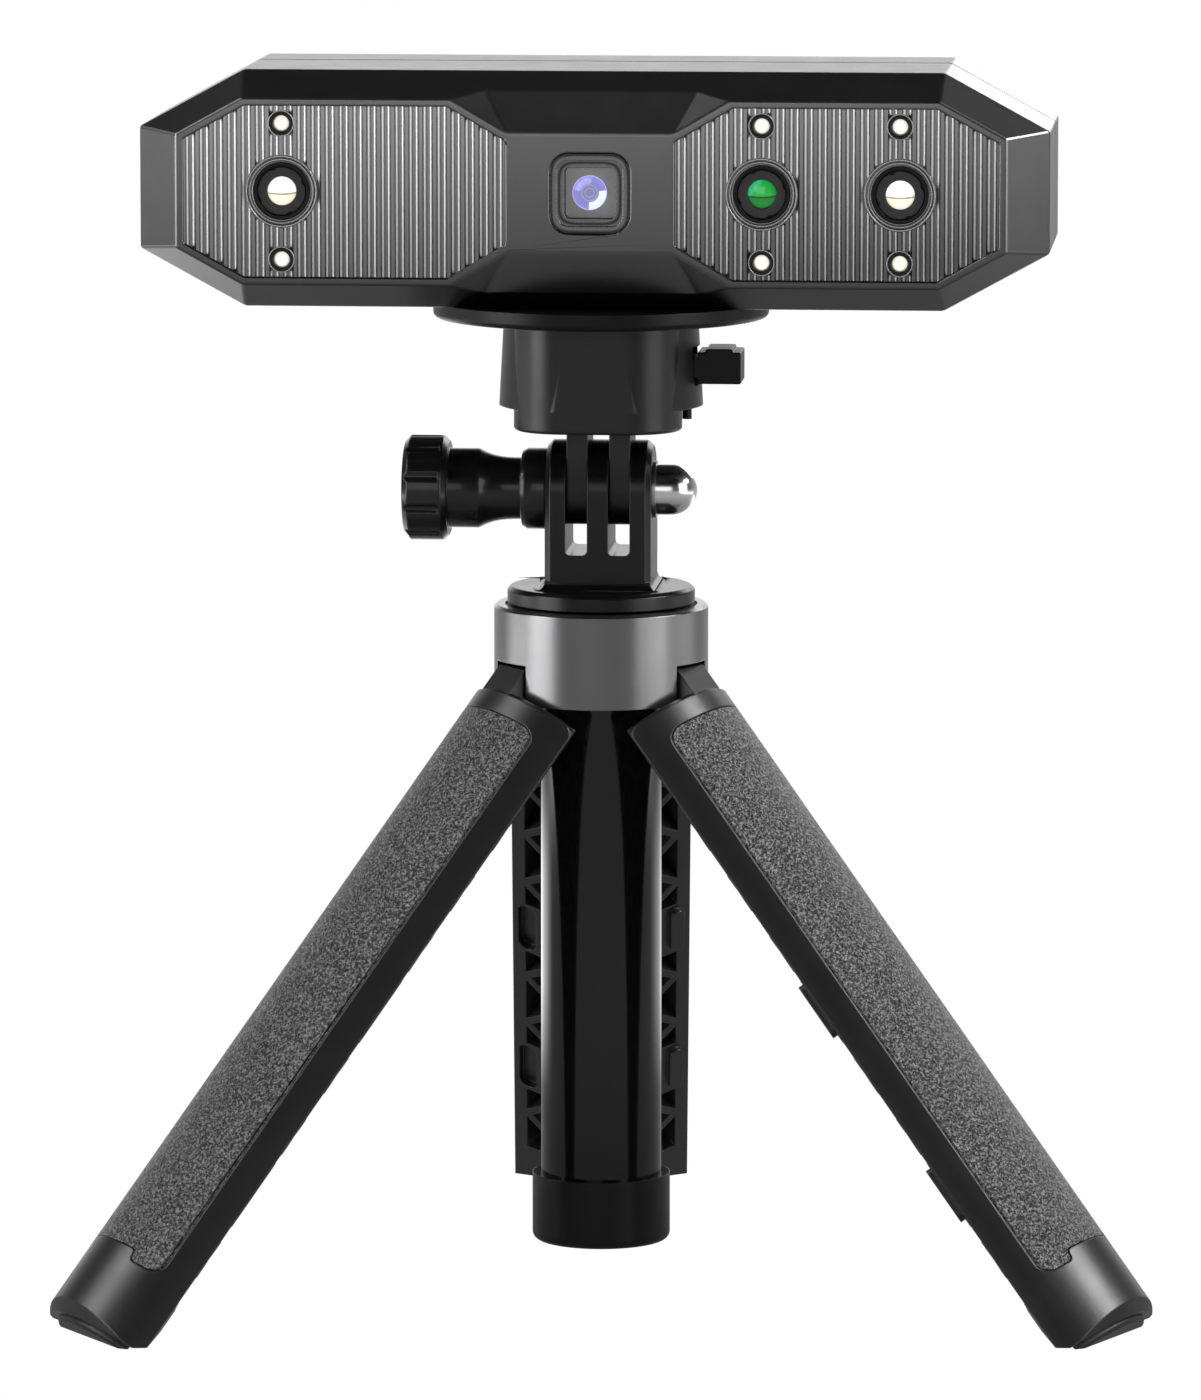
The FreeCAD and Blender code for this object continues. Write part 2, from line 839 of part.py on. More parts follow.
def knob():
    """Thumbscrew: grooved head, waisted neck and a collar against the fork."""
    a = fork_half + knob_start
    b = a + knob_collar_length
    c = b + knob_waist_length
    d = c + knob_neck_length
    e = d + knob_head_length
    sag = knob_neck_radius - knob_waist_radius
    bend_count = 6
    waist = []
    for i in range(bend_count + 1):
        share = i / bend_count
        height = b + share * knob_waist_length
        waist.append((knob_waist_radius + sag * share ** 3, height))
    profile = [(bolt_radius, a), (knob_collar_radius, a), (knob_collar_radius, b - knob_chamfer)]
    profile += [(knob_collar_radius - knob_chamfer / 2, b)]
    profile += waist
    profile += [
        (knob_neck_radius, d),
        (knob_head_radius - knob_chamfer, d),
        (knob_head_radius, d + knob_chamfer),
        (knob_head_radius, e - knob_chamfer),
        (knob_head_radius - knob_chamfer, e),
        (0, e + knob_groove_depth),
        (0, a + bolt_head_depth),
        (bolt_radius, a + bolt_head_depth),
    ]
    body = turned(profile)
    reach = knob_head_radius + knob_groove_radius - knob_groove_depth
    groove = rod(knob_groove_radius, d + knob_land, e + cut_out, x=reach)
    step = 360.0 / knob_groove_count
    grooves = [rotated(groove, i * step, V(0, 0, 1)) for i in range(knob_groove_count)]
    return rotated(body.cut(grooves), -90, V(0, 1, 0))


def clamp_bolt():
    """Screw fixed in the knob, through all five fingers and into the nut."""
    head_end = fork_half + knob_start + bolt_head_depth
    tip = fork_half + washer_thick + nut_depth - bolt_clearance
    return along_x(rod(bolt_radius, -head_end, tip))


def nut_washer():
    """Thin washer between the fork and the nut."""
    return along_x(ring(washer_radius, bolt_bore, fork_half, fork_half + washer_thick))


def cap_nut():
    """Domed nut on the fork's right side."""
    start = fork_half + washer_thick
    body = rod(nut_radius, start, start + nut_straight)
    dome = Part.makeSphere(nut_radius, V(0, 0, start + nut_straight))
    dome = dome.common(rod(nut_radius, start + nut_straight, start + nut_straight + nut_radius))
    body = joined([body, dome])
    return along_x(body.cut(rod(bolt_bore, start - cut_out, start + nut_depth)))


# Quick release: drawn about the pivot.

def socket_block():
    """Socket for the flange's spigot, with the latch slot and two hanging fingers."""
    box_body = plate(rectangle(block_half_width, block_half_depth, block_corner), block_bottom, block_top)
    rim = [e for e in box_body.Edges if e.BoundBox.ZMax < block_bottom + 0.01]
    box_body = box_body.makeFillet(block_edge, rim)
    cone = turned([
        (0, collar_bottom),
        (collar_bottom_radius, collar_bottom),
        (collar_top_radius, block_top),
        (0, block_top),
    ])
    reach = 2 * block_half_width
    cone = cone.common(box((-reach, reach), (-block_half_depth, block_half_depth), (0, 2 * block_top)))
    shroud_end = box((-reach, reach), (-shroud_back, reach), (0, collar_bottom))
    body = joined([box_body.cut(shroud_end), cone])
    pocket_half = spigot_half + spigot_clearance
    pocket = plate(rectangle(pocket_half, pocket_half, spigot_corner),
                   block_top - spigot_length - spigot_clearance, block_top + cut_out)
    left = latch_left() - latch_travel - latch_clearance
    plate_slot = latch_plate(left, latch_right() + latch_clearance, latch_clearance)
    neck_slot = box((spigot_half, button_inner), (-button_half_depth - latch_clearance,
                    button_half_depth + latch_clearance),
                    (latch_low - latch_clearance, latch_low + latch_thick + latch_clearance))
    well = box((button_inner - latch_travel - latch_clearance, reach),
               (-button_half_depth - latch_clearance, button_half_depth + latch_clearance),
               (button_low - latch_clearance, button_high + latch_clearance))
    fingers = []
    for side in (-1, 1):
        centre = side * finger_pitch / 2
        half = finger_gap / 2 - male_side_gap
        fingers.append(finger(centre - half, centre + half, male_radius, collar_bottom + cut_out))
    body = body.cut([pocket, plate_slot, neck_slot, well, stop_pin()])
    bore = along_x(rod(bolt_bore, -2 * fork_half, 2 * fork_half))
    return joined([body] + fingers).cut(bore)


def latch_left():
    """Left end of the latch plate at rest."""
    return -spigot_half + latch_bite - latch_lip


def latch_right():
    """Right end of the latch plate's frame, before the neck that carries the button."""
    return spigot_half + latch_travel + 2 * latch_clearance + latch_rail


def latch_plate(left, right, grow):
    """Flat plate with rounded corners, for the latch or for the slot it slides in."""
    outline = rectangle((right - left) / 2, latch_half_depth + grow, latch_corner + grow)
    sheet = plate(outline, latch_low - grow, latch_low + latch_thick + grow)
    return moved(sheet, x=(left + right) / 2)


def release_latch():
    """Plate with a window round the spigot, a lip that bites its notch, and the push button."""
    low = latch_low
    high = latch_low + latch_thick
    window_right = latch_right() - latch_rail
    lip_edge = -spigot_half + latch_bite
    side = latch_half_depth - latch_rail
    body = latch_plate(latch_left(), latch_right(), 0)
    neck = box((window_right, button_inner + cut_out), (-button_half_depth, button_half_depth), (low, high))
    window = box((lip_edge, window_right), (-side, side), (low - cut_out, high + cut_out))
    button = box((button_inner, button_outer), (-button_half_depth, button_half_depth),
                 (button_low, button_high))
    lands = [(button_outer - button_step, button_outer + cut_out)]
    lands.append((button_inner - cut_out, button_inner + button_step))
    steps = [box(land, (-2 * button_half_depth, 2 * button_half_depth),
                 (button_high - button_step_drop, button_high + cut_out)) for land in lands]
    pin_space = stop_pin_radius + latch_clearance / 2
    left_end = stop_pin_place - pin_space
    right_end = stop_pin_place + pin_space + latch_travel
    race = box((left_end, right_end), (stop_pin_depth - pin_space, stop_pin_depth + pin_space),
               (button_low - cut_out, high - latch_rail))
    middle = (low + high) / 2
    pocket = moved(along_x(rod(spring_bore, latch_left() - cut_out, latch_left() + spring_pocket)), z=middle)
    return joined([body, neck, button]).cut([window, race, pocket] + steps)


def latch_spring():
    """Small coil spring between the latch and the left wall of its slot."""
    start = latch_left() - latch_travel - latch_clearance + 2 * spring_wire
    length = latch_travel + latch_clearance + spring_pocket - 4 * spring_wire
    path = Part.makeHelix(length / spring_turns, length, spring_radius)
    section = Part.Wire(Part.makeCircle(spring_wire, V(spring_radius, 0, 0), V(0, 1, 0)))
    coil = Part.Wire(path).makePipeShell([section], True, True)
    coil = moved(coil, z=start)
    return moved(along_x(coil), z=latch_low + latch_thick / 2)


def stop_pin():
    """Pin in the socket that keeps the latch in its slot."""
    high = latch_low + latch_thick - latch_rail - latch_clearance
    return rod(stop_pin_radius, stop_pin_low, high, x=stop_pin_place, y=stop_pin_depth)


def mount_flange():
    """Round flange under the head with its square spigot, notched for the latch."""
    body = rod(flange_radius, block_top, head_bottom)
    rim = [e for e in body.Edges if abs(e.BoundBox.ZMax - block_top) < 0.01 and e.Length > flange_radius]
    body = body.makeFillet(flange_round, rim)
    low = block_top - spigot_length
    spigot = plate(rectangle(spigot_half, spigot_half, spigot_corner), low, block_top + cut_out)
    notch = box((-spigot_half - cut_out, -spigot_half + latch_bite + latch_clearance / 2),
                (-2 * spigot_half, 2 * spigot_half),
                (latch_low - latch_clearance, latch_low + latch_thick + latch_clearance))
    hole = rod(screw_radius + spigot_clearance, low - cut_out, head_bottom + cut_out)
    head_room = rod(screw_head_radius + spigot_clearance, low - cut_out, screw_seat())
    return joined([body, spigot]).cut([notch, hole, head_room])


def screw_seat():
    """Level that the flange screw's head pulls up against."""
    return block_top - spigot_length + screw_head_height + screw_head_sunk


def flange_screw():
    """Slotted screw that holds the flange to the insert in the head."""
    seat = screw_seat()
    head = rod(screw_head_radius, seat - screw_head_height, seat)
    shank = rod(screw_radius, seat, head_bottom + screw_reach)
    low = seat - screw_head_height
    slot = box((-2 * screw_head_radius, 2 * screw_head_radius), (-coin_slot / 2, coin_slot / 2),
               (low - cut_out, low + coin_slot))
    return joined([head, shank]).cut(slot)


# Scanner head: drawn about its centre, front towards -Y.

def outline_octagon(place, side_in, top_in, corner_in):
    """Housing outline at one depth, each side set in by its own amount."""
    across = math.sin(math.radians(corner_angle))
    up = math.cos(math.radians(corner_angle))
    corner = (half_width - corner_run) * across + half_height * up - corner_in
    x = half_width - side_in
    z = half_height - top_in
    x_top = (corner - z * up) / across
    z_side = (corner - x * across) / up
    points = [(-x_top, z), (x_top, z), (x, z_side), (x, -z_side)]
    points += [(x_top, -z), (-x_top, -z), (-x, -z_side), (-x, z_side)]
    corners = [V(px, place, pz) for px, pz in points]
    return Part.makePolygon(corners + corners[:1])


def octagon_body(stations):
    """Housing solid through outlines given as (depth, side, top, corner insets)."""
    return Part.makeLoft([outline_octagon(*s) for s in stations], True, True)


def waist_cut(flip):
    """Wedge that slopes the middle of the front face into the bevel, above or below."""
    def section(share):
        z_low = waist_half_height + share * waist_facet_rise
        x_low = waist_half_width + share * waist_facet_spread
        z_high = half_height + waist_facet_rise
        x_high = x_low + (z_high - z_low) / math.tan(math.radians(waist_angle))
        place = -front_face + share * waist_facet_depth
        outline = [(-x_low, z_low), (x_low, z_low), (x_high, z_high), (-x_high, z_high)]
        corners = [V(px, place, flip * pz) for px, pz in outline]
        return Part.makePolygon(corners + corners[:1])

    ends = (-cut_out, waist_reach)
    return Part.makeLoft([section(ends[0]), section(ends[1])], True, True)


def panel_points(inset):
    """Outline of the right ribbed panel, set in from the flat of the front face."""
    across = math.sin(math.radians(corner_angle))
    up = math.cos(math.radians(corner_angle))
    outer = (half_width - corner_run) * across + half_height * up - bevel_corner - inset
    lean = math.sin(math.radians(waist_angle))
    rise = math.cos(math.radians(waist_angle))
    inner = waist_half_height * rise - waist_half_width * lean - inset
    top = half_height - bevel_top - inset
    right = half_width - bevel_side - inset
    left = waist_half_width + panel_inner_edge
    upper = [
        (left, (inner + left * lean) / rise),
        ((top * rise - inner) / lean, top),
        ((outer - top * up) / across, top),
        (right, (outer - right * across) / up),
    ]
    return upper + [(x, -z) for x, z in reversed(upper)]


def panel_prism(inset, front, back):
    """Panel outline as a block between two depths behind the front face."""
    points = panel_points(inset)
    outline = rounded_wire(points, [panel_corner] * len(points))
    block = plate(outline, front_face - back, front_face - front)
    return facing_front(block)


def rib_panel(eyes):
    """Plate with upright grooves, stepped rings round its lenses and holes for the lamps."""
    points = panel_points(panel_border)
    left = points[0][0]
    right = points[3][0]
    pitch = (right - left) / panel_rib_count
    face = -front_face + panel_set_back
    back = face + panel_thick
    groove = pitch * panel_groove_share / 2
    edges = []
    here = V(left - cut_out, face, 0)
    for i in range(panel_rib_count):
        centre = left + (i + 0.5) * pitch
        start = V(centre - groove, face, 0)
        edges.append(Part.LineSegment(here, start).toShape())
        here = V(centre + groove, face, 0)
        edges.append(Part.Arc(start, V(centre, face + panel_groove_depth, 0), here).toShape())
    ends = (left - cut_out, right + cut_out)
    for corner in (V(ends[1], face, 0), V(ends[1], back, 0), V(ends[0], back, 0), V(ends[0], face, 0)):
        edges.append(Part.LineSegment(here, corner).toShape())
        here = corner
    strip = plate(Part.Wire(edges), -half_height, half_height)
    panel = strip.common(panel_prism(panel_border, -1, front_face))
    cuts = []
    for place in eyes:
        cuts.append(eye(place, 0, barrel_outer + barrel_fit, -1, front_face))
        cuts.append(eye(place, 0, ring_outer, -1, panel_set_back + ring_depth))
        cuts.append(eye(place, 0, ring_middle, -1, panel_set_back + 2 * ring_depth))
        for z in (lamp_offset, -lamp_offset):
            cuts.append(eye(place, z, lamp_ring_radius, -1, front_face))
    return panel.cut(cuts)


def eye(x, z, radius, front, back):
    """Cylinder through the front face at one place, between two depths."""
    body = facing_front(rod(radius, front_face - back, front_face - front))
    return moved(body, x=x, z=z)


def front_shell():
    """Faceted front housing with the waist, panel seats, bores and posts."""
    outer = octagon_body([
        (-front_face, bevel_side, bevel_top, bevel_corner),
        (-front_face + bevel_depth, 0, 0, 0),
        (split_plane - split_groove / 2, 0, 0, 0),
    ])
    outer = outer.cut([waist_cut(1), waist_cut(-1)])
    w = shell_wall
    inner = octagon_body([
        (-front_face + front_wall, bevel_side + w, bevel_top + w, bevel_corner + w),
        (-front_face + bevel_depth + w / 2, w, w, w),
        (split_plane + 1, w, w, w),
    ])
    shell = outer.cut(inner)
    posts = []
    root = front_wall - post_root
    for x in (-screw_post_place, screw_post_place):
        for z in (-screw_post_height, screw_post_height):
            posts.append(eye(x, z, screw_post_radius, root, front_face + split_plane))
    for x in (-standoff_place, standoff_place):
        posts.append(eye(x, 0, standoff_radius, root, front_face - frame_front))
    boss_top = -half_height + insert_length + w / 2
    posts.append(rod(insert_boss, -half_height + w / 2, boss_top))
    shell = joined([shell] + posts)
    seat = panel_set_back + panel_thick
    cuts = [panel_prism(panel_border, -1, seat), mirrored(panel_prism(panel_border, -1, seat))]
    for x in (-camera_place, projector_place, camera_place):
        cuts.append(eye(x, 0, barrel_outer + barrel_fit, -1, front_wall + 1))
        for z in (lamp_offset, -lamp_offset):
            cuts.append(eye(x, z, lamp_ring_radius, -1, front_wall + 1))
    for x in (-screw_post_place, screw_post_place):
        for z in (-screw_post_height, screw_post_height):
            depth = front_face + split_plane
            cuts.append(eye(x, z, cover_screw_radius, depth - cover_screw_length / 2, depth + 1))
    cuts.append(window_block(0, -1, front_wall + 1))
    cuts.append(rod(insert_radius, -half_height - 1, -half_height + insert_length))
    cuts.append(rod(insert_bore, -half_height - 1, half_height / 2))
    return shell.cut(cuts)


def window_block(step, front, back, grow=0.0):
    """Rounded square block for one step of the window bezel, between two depths."""
    half = window_steps[step] / 2 + grow
    outline = rectangle(half, half, window_corners[step] + grow)
    return facing_front(plate(outline, front_face - back, front_face - front))


def window_bezel():
    """Stepped square surround of the centre camera."""
    body = window_block(0, window_set_back, bezel_back)
    cuts = []
    for step in (1, 2):
        cuts.append(window_block(step, -1, step * window_step_depth + window_set_back))
    cuts.append(window_block(2, -1, front_face, -glass_gap * 6))
    glass_back = 3 * window_step_depth + glass_thick
    cuts.append(window_block(2, -1, glass_back))
    return body.cut(cuts)


def window_glass():
    """Cover glass in the bezel's last step."""
    front = 3 * window_step_depth
    return window_block(2, front, front + glass_thick, -glass_gap)


def color_lens():
    """Lens of the centre camera behind its window."""
    top = front_face - color_lens_front()
    curve = lens_curve(color_lens_radius, color_lens_bulge)
    body = moved(Part.makeSphere(curve), z=top - curve)
    tube = rod(color_lens_radius, top - color_lens_thick, top)
    return facing_front(body.common(tube))


def color_lens_front():
    """Depth of the centre lens's crown behind the front face."""
    return 3 * window_step_depth + glass_thick + glass_gap


def lens_curve(radius, bulge):
    """Radius of a sphere whose cap of the given radius stands up by the bulge."""
    return (radius * radius + bulge * bulge) / (2 * bulge)


def color_barrel():
    """Barrel that holds the centre lens, on the sensor frame."""
    top = front_face - color_lens_front()
    tube = rod(color_barrel_radius, frame_front, top - color_lens_drop)
    seat = rod(color_lens_radius, top - color_lens_thick, front_face)
    return facing_front(tube.cut([seat, rod(color_lens_radius / 2, 0, front_face)]))


def lens_barrel(x):
    """Black barrel with a conical mouth, from the panel back to the sensor frame."""
    front = front_face - barrel_set_back
    profile = [
        (barrel_throat - barrel_stop_wall, frame_front),
        (barrel_outer, frame_front),
        (barrel_outer, front),
        (barrel_mouth, front),
        (barrel_throat, front - barrel_cone_depth),
        (barrel_throat, front - barrel_cone_depth - lens_thick),
        (barrel_throat - barrel_stop_wall, front - barrel_cone_depth - lens_thick),
    ]
    return moved(facing_front(turned(profile)), x=x)


def lens_glass(x):
    """Front lens seated at the foot of the barrel's cone."""
    back = front_face - barrel_set_back - barrel_cone_depth - lens_thick
    top = back + lens_thick + lens_bulge
    radius = lens_curve(lens_radius, lens_bulge)
    ball = Part.makeSphere(radius, V(0, 0, top - radius))
    return moved(facing_front(ball.common(rod(lens_radius, back, top))), x=x)


def lamp_places():
    """Where the six lamps stand: above and below each lens."""
    places = (-camera_place, projector_place, camera_place)
    return [(x, z) for x in places for z in (lamp_offset, -lamp_offset)]


def lamp_rings():
    """Dark rings round the lamps."""
    top = front_face - lamp_set_back
    inner = lamp_ring_radius - lamp_ring_wall
    body = facing_front(ring(lamp_ring_radius, inner, top - lamp_length, top))
    return Part.makeCompound([moved(body, x=x, z=z) for x, z in lamp_places()])


def lamp_domes():
    """Lamps with domed ends inside the rings."""
    radius = lamp_ring_radius - lamp_ring_wall
    shoulder = front_face - lamp_set_back - radius * lamp_dome_share
    ball = Part.makeSphere(radius, V(0, 0, shoulder)).common(rod(radius, shoulder, front_face))
    body = facing_front(joined([rod(radius, front_face - lamp_length, shoulder), ball]))
    return Part.makeCompound([moved(body, x=x, z=z) for x, z in lamp_places()])


def sensor_frame():
    """Stiff plate that holds the optics in line."""
    outline = rectangle(frame_half_width, frame_half_height, frame_corner)
    body = plate(outline, frame_front - frame_thick, frame_front)
    holes = [rod(barrel_throat - barrel_stop_wall, 0, frame_front + 1, x=x)
             for x in (-camera_place, 0, projector_place, camera_place)]
    slots = []
    for x in (-camera_place / 2, (projector_place + camera_place) / 2):
        outline = rectangle(frame_slot_half, frame_half_height / 2, frame_slot_half / 2)
        slots.append(moved(plate(outline, 0, frame_front + 1), x=x))
    return facing_front(body.cut(holes + slots))


def sensor_module(x):
    """Sensor or projector unit on the back of the frame, with a stepped can."""
    high = frame_front - frame_thick
    low = high - module_depth
    base = plate(rectangle(module_half, module_half, module_corner), high - module_depth / 2, high)
    inner = module_half * module_can_share
    can = plate(rectangle(inner, inner, module_corner), low, high - module_depth / 2)
    return moved(facing_front(joined([base, can])), x=x)


def main_board():
    """Circuit board on the rear cover's posts, with its larger chips."""
    outline = rectangle(board_half_width, board_half_height, board_corner)
    pieces = [plate(outline, -board_front - board_thick, -board_front)]
    for i in range(chip_count):
        half = chip_half * chip_shrink ** i
        outline = rectangle(half, half, chip_corner)
        chip = plate(outline, -board_front - chip_sunk, -board_front + chip_height)
        pieces.append(moved(chip, x=chip_place + i * chip_pitch))
    return facing_front(joined(pieces))


def rear_hole(x, z, radius, front, back):
    """Cylinder along the depth between two places behind the head's centre."""
    return moved(facing_front(rod(radius, -back, -front)), x=x, z=z)


def rear_cover():
    """Rear housing with board posts, screw wells, port, button well and status hole."""
    w = shell_wall
    outer = octagon_body([
        (split_plane + split_groove / 2, 0, 0, 0),
        (head_back - rear_chamfer, 0, 0, 0),
        (head_back, rear_chamfer, rear_chamfer, rear_chamfer),
    ])
    inner = octagon_body([
        (split_plane - 1, w, w, w),
        (head_back - w - rear_chamfer / 2, w, w, w),
        (head_back - w, w + rear_chamfer / 2, w + rear_chamfer / 2, w + rear_chamfer / 2),
    ])
    lip = octagon_body([
        (split_plane - split_groove / 2, cover_lip_wall, cover_lip_wall, cover_lip_wall),
        (split_plane + split_groove / 2, cover_lip_wall, cover_lip_wall, cover_lip_wall),
    ])
    pieces = [outer.cut(inner), lip.cut(inner)]
    for x in (-board_post_place, board_post_place):
        for z in (-board_post_height, board_post_height):
            pieces.append(rear_hole(x, z, board_post_radius, board_front + board_thick, head_back - w / 2))
    for x in (-screw_post_place, screw_post_place):
        for z in (-screw_post_height, screw_post_height):
            pieces.append(rear_hole(x, z, screw_post_radius, split_plane, head_back - w / 2))
    wall = push_radius + push_flange + w
    pieces.append(rear_hole(0, 0, wall, button_rear() - push_well(), head_back - w / 2))
    body = joined(pieces)
    cuts = []
    for x in (-screw_post_place, screw_post_place):
        for z in (-screw_post_height, screw_post_height):
            cuts.append(rear_hole(x, z, cover_screw_radius, split_plane - 1, head_back + 1))
            cuts.append(rear_hole(x, z, cover_screw_head, cover_screw_seat(), head_back + 1))
    port = plate(rectangle(port_width / 2 + port_fit, port_height / 2 + port_fit, port_height / 2),
                 -head_back - 1, -head_back + 3 * w)
    cuts.append(moved(facing_front(port), x=port_place))
    cuts.append(rear_hole(0, 0, push_radius + push_gap, split_plane, head_back + 1))
    cuts.append(rear_hole(0, 0, push_radius + push_flange + push_gap, split_plane, button_rear()))
    cuts.append(rear_hole(status_place, 0, status_radius, split_plane, head_back + 1))
    return body.cut(cuts)


def cover_screw_seat():
    """Depth of the face that the cover screws' heads rest on."""
    return head_back - cover_screw_head_height - cover_screw_sunk


def button_rear():
    """Depth of the face that the button's flange rests against from inside."""
    return head_back - shell_wall * push_seat_share


def push_well():
    """Depth of the well that the button's flange travels in."""
    return push_flange_thick + push_travel + push_slack


def cover_screws():
    """Four screws from the rear cover into the front shell's posts."""
    seat = cover_screw_seat()
    head = rear_hole(0, 0, cover_screw_head - slide_clearance, seat, seat + cover_screw_head_height)
    shank = rear_hole(0, 0, cover_screw_radius, seat - cover_screw_length, seat)
    screw = joined([head, shank])
    return Part.makeCompound([moved(screw, x=x, z=z)
                              for x in (-screw_post_place, screw_post_place)
                              for z in (-screw_post_height, screw_post_height)])


def function_button():
    """Round push button in the rear cover, with a flange and a stem."""
    top = head_back + push_proud
    flange_face = button_rear() - push_rest
    cap = rear_hole(0, 0, push_radius, flange_face - push_flange_thick, top)
    flange = rear_hole(0, 0, push_radius + push_flange, flange_face - push_flange_thick, flange_face)
    dish_radius = 3 * push_radius
    dish = Part.makeSphere(dish_radius, V(0, top + dish_radius - push_dish, 0))
    stem = rear_hole(0, 0, stem_radius, board_front + board_thick + push_travel + stem_gap, flange_face)
    return joined([cap.cut(dish), flange, stem])


def button_switch():
    """Switch on the board with a bore that takes the button's stem."""
    low = board_front + board_thick
    body = plate(rectangle(switch_half, switch_half, switch_corner), -low - switch_depth, -low)
    bore = rod(stem_radius + switch_clearance, -low - switch_depth - 1, -low - switch_clearance)
    return facing_front(body.cut(bore))


def status_lens():
    """Light guide of the status lamp beside the button."""
    return rear_hole(status_place, 0, status_radius, board_front + board_thick, head_back - status_set_back)


def data_socket():
    """Flat round-ended socket on the board, open to the rear, with its tongue."""
    low = board_front + board_thick
    high = head_back - port_set_back
    outer = plate(rectangle(port_width / 2, port_height / 2, port_height / 2 - 0.05), -high, -low)
    hollow = plate(rectangle(port_width / 2 - port_wall, port_height / 2 - port_wall,
                             port_height / 2 - port_wall - 0.05), -high - 1, -low - 1)
    half = port_tongue / 2
    tongue = box((-port_width / 3, port_width / 3), (-half, half), (-high + 1, -low - cut_out))
    return moved(facing_front(joined([outer.cut(hollow), tongue])), x=port_place)


def tripod_insert():
    """Threaded insert in the floor of the front shell."""
    return ring(insert_radius, insert_bore, -half_height, -half_height + insert_length)


def main():
    """Build every node and write its file."""
    nodes = {
        "front_shell": in_head(front_shell()),
        "rear_cover": in_head(rear_cover()),
        "left_rib_panel": in_head(mirrored(rib_panel([camera_place]))),
        "right_rib_panel": in_head(rib_panel([projector_place, camera_place])),
        "left_camera_barrel": in_head(lens_barrel(-camera_place)),
        "projector_barrel": in_head(lens_barrel(projector_place)),
        "right_camera_barrel": in_head(lens_barrel(camera_place)),
        "left_camera_glass": in_head(lens_glass(-camera_place)),
        "projector_glass": in_head(lens_glass(projector_place)),
        "right_camera_glass": in_head(lens_glass(camera_place)),
        "lamp_rings": in_head(lamp_rings()),
        "lamp_domes": in_head(lamp_domes()),
        "window_bezel": in_head(window_bezel()),
        "window_glass": in_head(window_glass()),
        "color_lens": in_head(color_lens()),
        "color_barrel": in_head(color_barrel()),
        "sensor_frame": in_head(sensor_frame()),
        "left_camera_module": in_head(sensor_module(-camera_place)),
        "color_camera_module": in_head(sensor_module(0)),
        "projector_module": in_head(sensor_module(projector_place)),
        "right_camera_module": in_head(sensor_module(camera_place)),
        "main_board": in_head(main_board()),
        "data_socket": in_head(data_socket()),
        "tripod_insert": in_head(tripod_insert()),
        "cover_screws": in_head(cover_screws()),
        "function_button": in_head(function_button()),
        "button_switch": in_head(button_switch()),
        "status_lens": in_head(status_lens()),
        "mount_flange": on_fork(mount_flange()),
        "flange_screw": on_fork(flange_screw()),
        "socket_block": on_fork(socket_block()),
        "release_latch": on_fork(release_latch()),
        "latch_spring": on_fork(latch_spring()),
        "latch_stop_pin": on_fork(stop_pin()),
        "fork_mount": on_fork(fork_mount()),
        "pan_clip": on_fork(pan_clip()),
        "thumbscrew_knob": on_fork(knob()),
        "clamp_bolt": on_fork(clamp_bolt()),
        "nut_washer": on_fork(nut_washer()),
        "cap_nut": on_fork(cap_nut()),
        "inner_pole": inner_pole(),
        "pole_stop": pole_stop(),
        "guide_bush": guide_bush(),
        "collar_sleeve": collar_sleeve(),
        "leg_hub": leg_hub(),
        "hinge_pins": Part.makeCompound(around(hinge_pin())),
        "column_tube": column_tube(),
        "column_cap": column_cap(),
    }
    leg = folded_leg()
    grip = folded_grip()
    pad = pad_blank(0)
    for i, place in enumerate(("rear", "front_left", "front_right")):
        azimuth = rear_leg_azimuth + i * leg_step
        nodes[place + "_leg"] = above(splayed(leg, azimuth), foot_lift)
        nodes[place + "_grip"] = splayed(grip, azimuth)
        nodes[place + "_foot_pad"] = above(splayed(pad, azimuth), 0)
    os.makedirs("parts", exist_ok=True)
    for name, shape in nodes.items():
        shape.exportStep("parts/" + name + ".step")
        print(name, len(shape.Solids), round(shape.Volume, 1), shape.isValid())


main()
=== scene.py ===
import json
import math
import bmesh
import bpy
import numpy as np
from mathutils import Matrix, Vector


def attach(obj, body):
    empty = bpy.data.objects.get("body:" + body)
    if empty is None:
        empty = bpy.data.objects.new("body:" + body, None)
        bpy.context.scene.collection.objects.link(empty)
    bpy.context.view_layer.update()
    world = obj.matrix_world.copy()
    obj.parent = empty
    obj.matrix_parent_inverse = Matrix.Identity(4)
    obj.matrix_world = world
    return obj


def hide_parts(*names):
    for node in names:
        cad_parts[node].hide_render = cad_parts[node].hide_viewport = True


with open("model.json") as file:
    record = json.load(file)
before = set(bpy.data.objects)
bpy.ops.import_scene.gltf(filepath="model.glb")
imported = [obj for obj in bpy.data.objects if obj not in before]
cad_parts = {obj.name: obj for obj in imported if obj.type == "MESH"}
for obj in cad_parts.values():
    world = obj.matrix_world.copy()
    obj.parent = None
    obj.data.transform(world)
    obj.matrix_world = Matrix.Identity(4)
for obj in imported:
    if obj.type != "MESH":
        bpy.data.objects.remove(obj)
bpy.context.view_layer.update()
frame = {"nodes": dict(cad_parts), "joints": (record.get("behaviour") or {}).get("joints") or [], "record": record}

nodes = frame["nodes"]
mm = 0.001  # metres in a millimetre
print("stage: frame loaded,", len(nodes), "nodes")

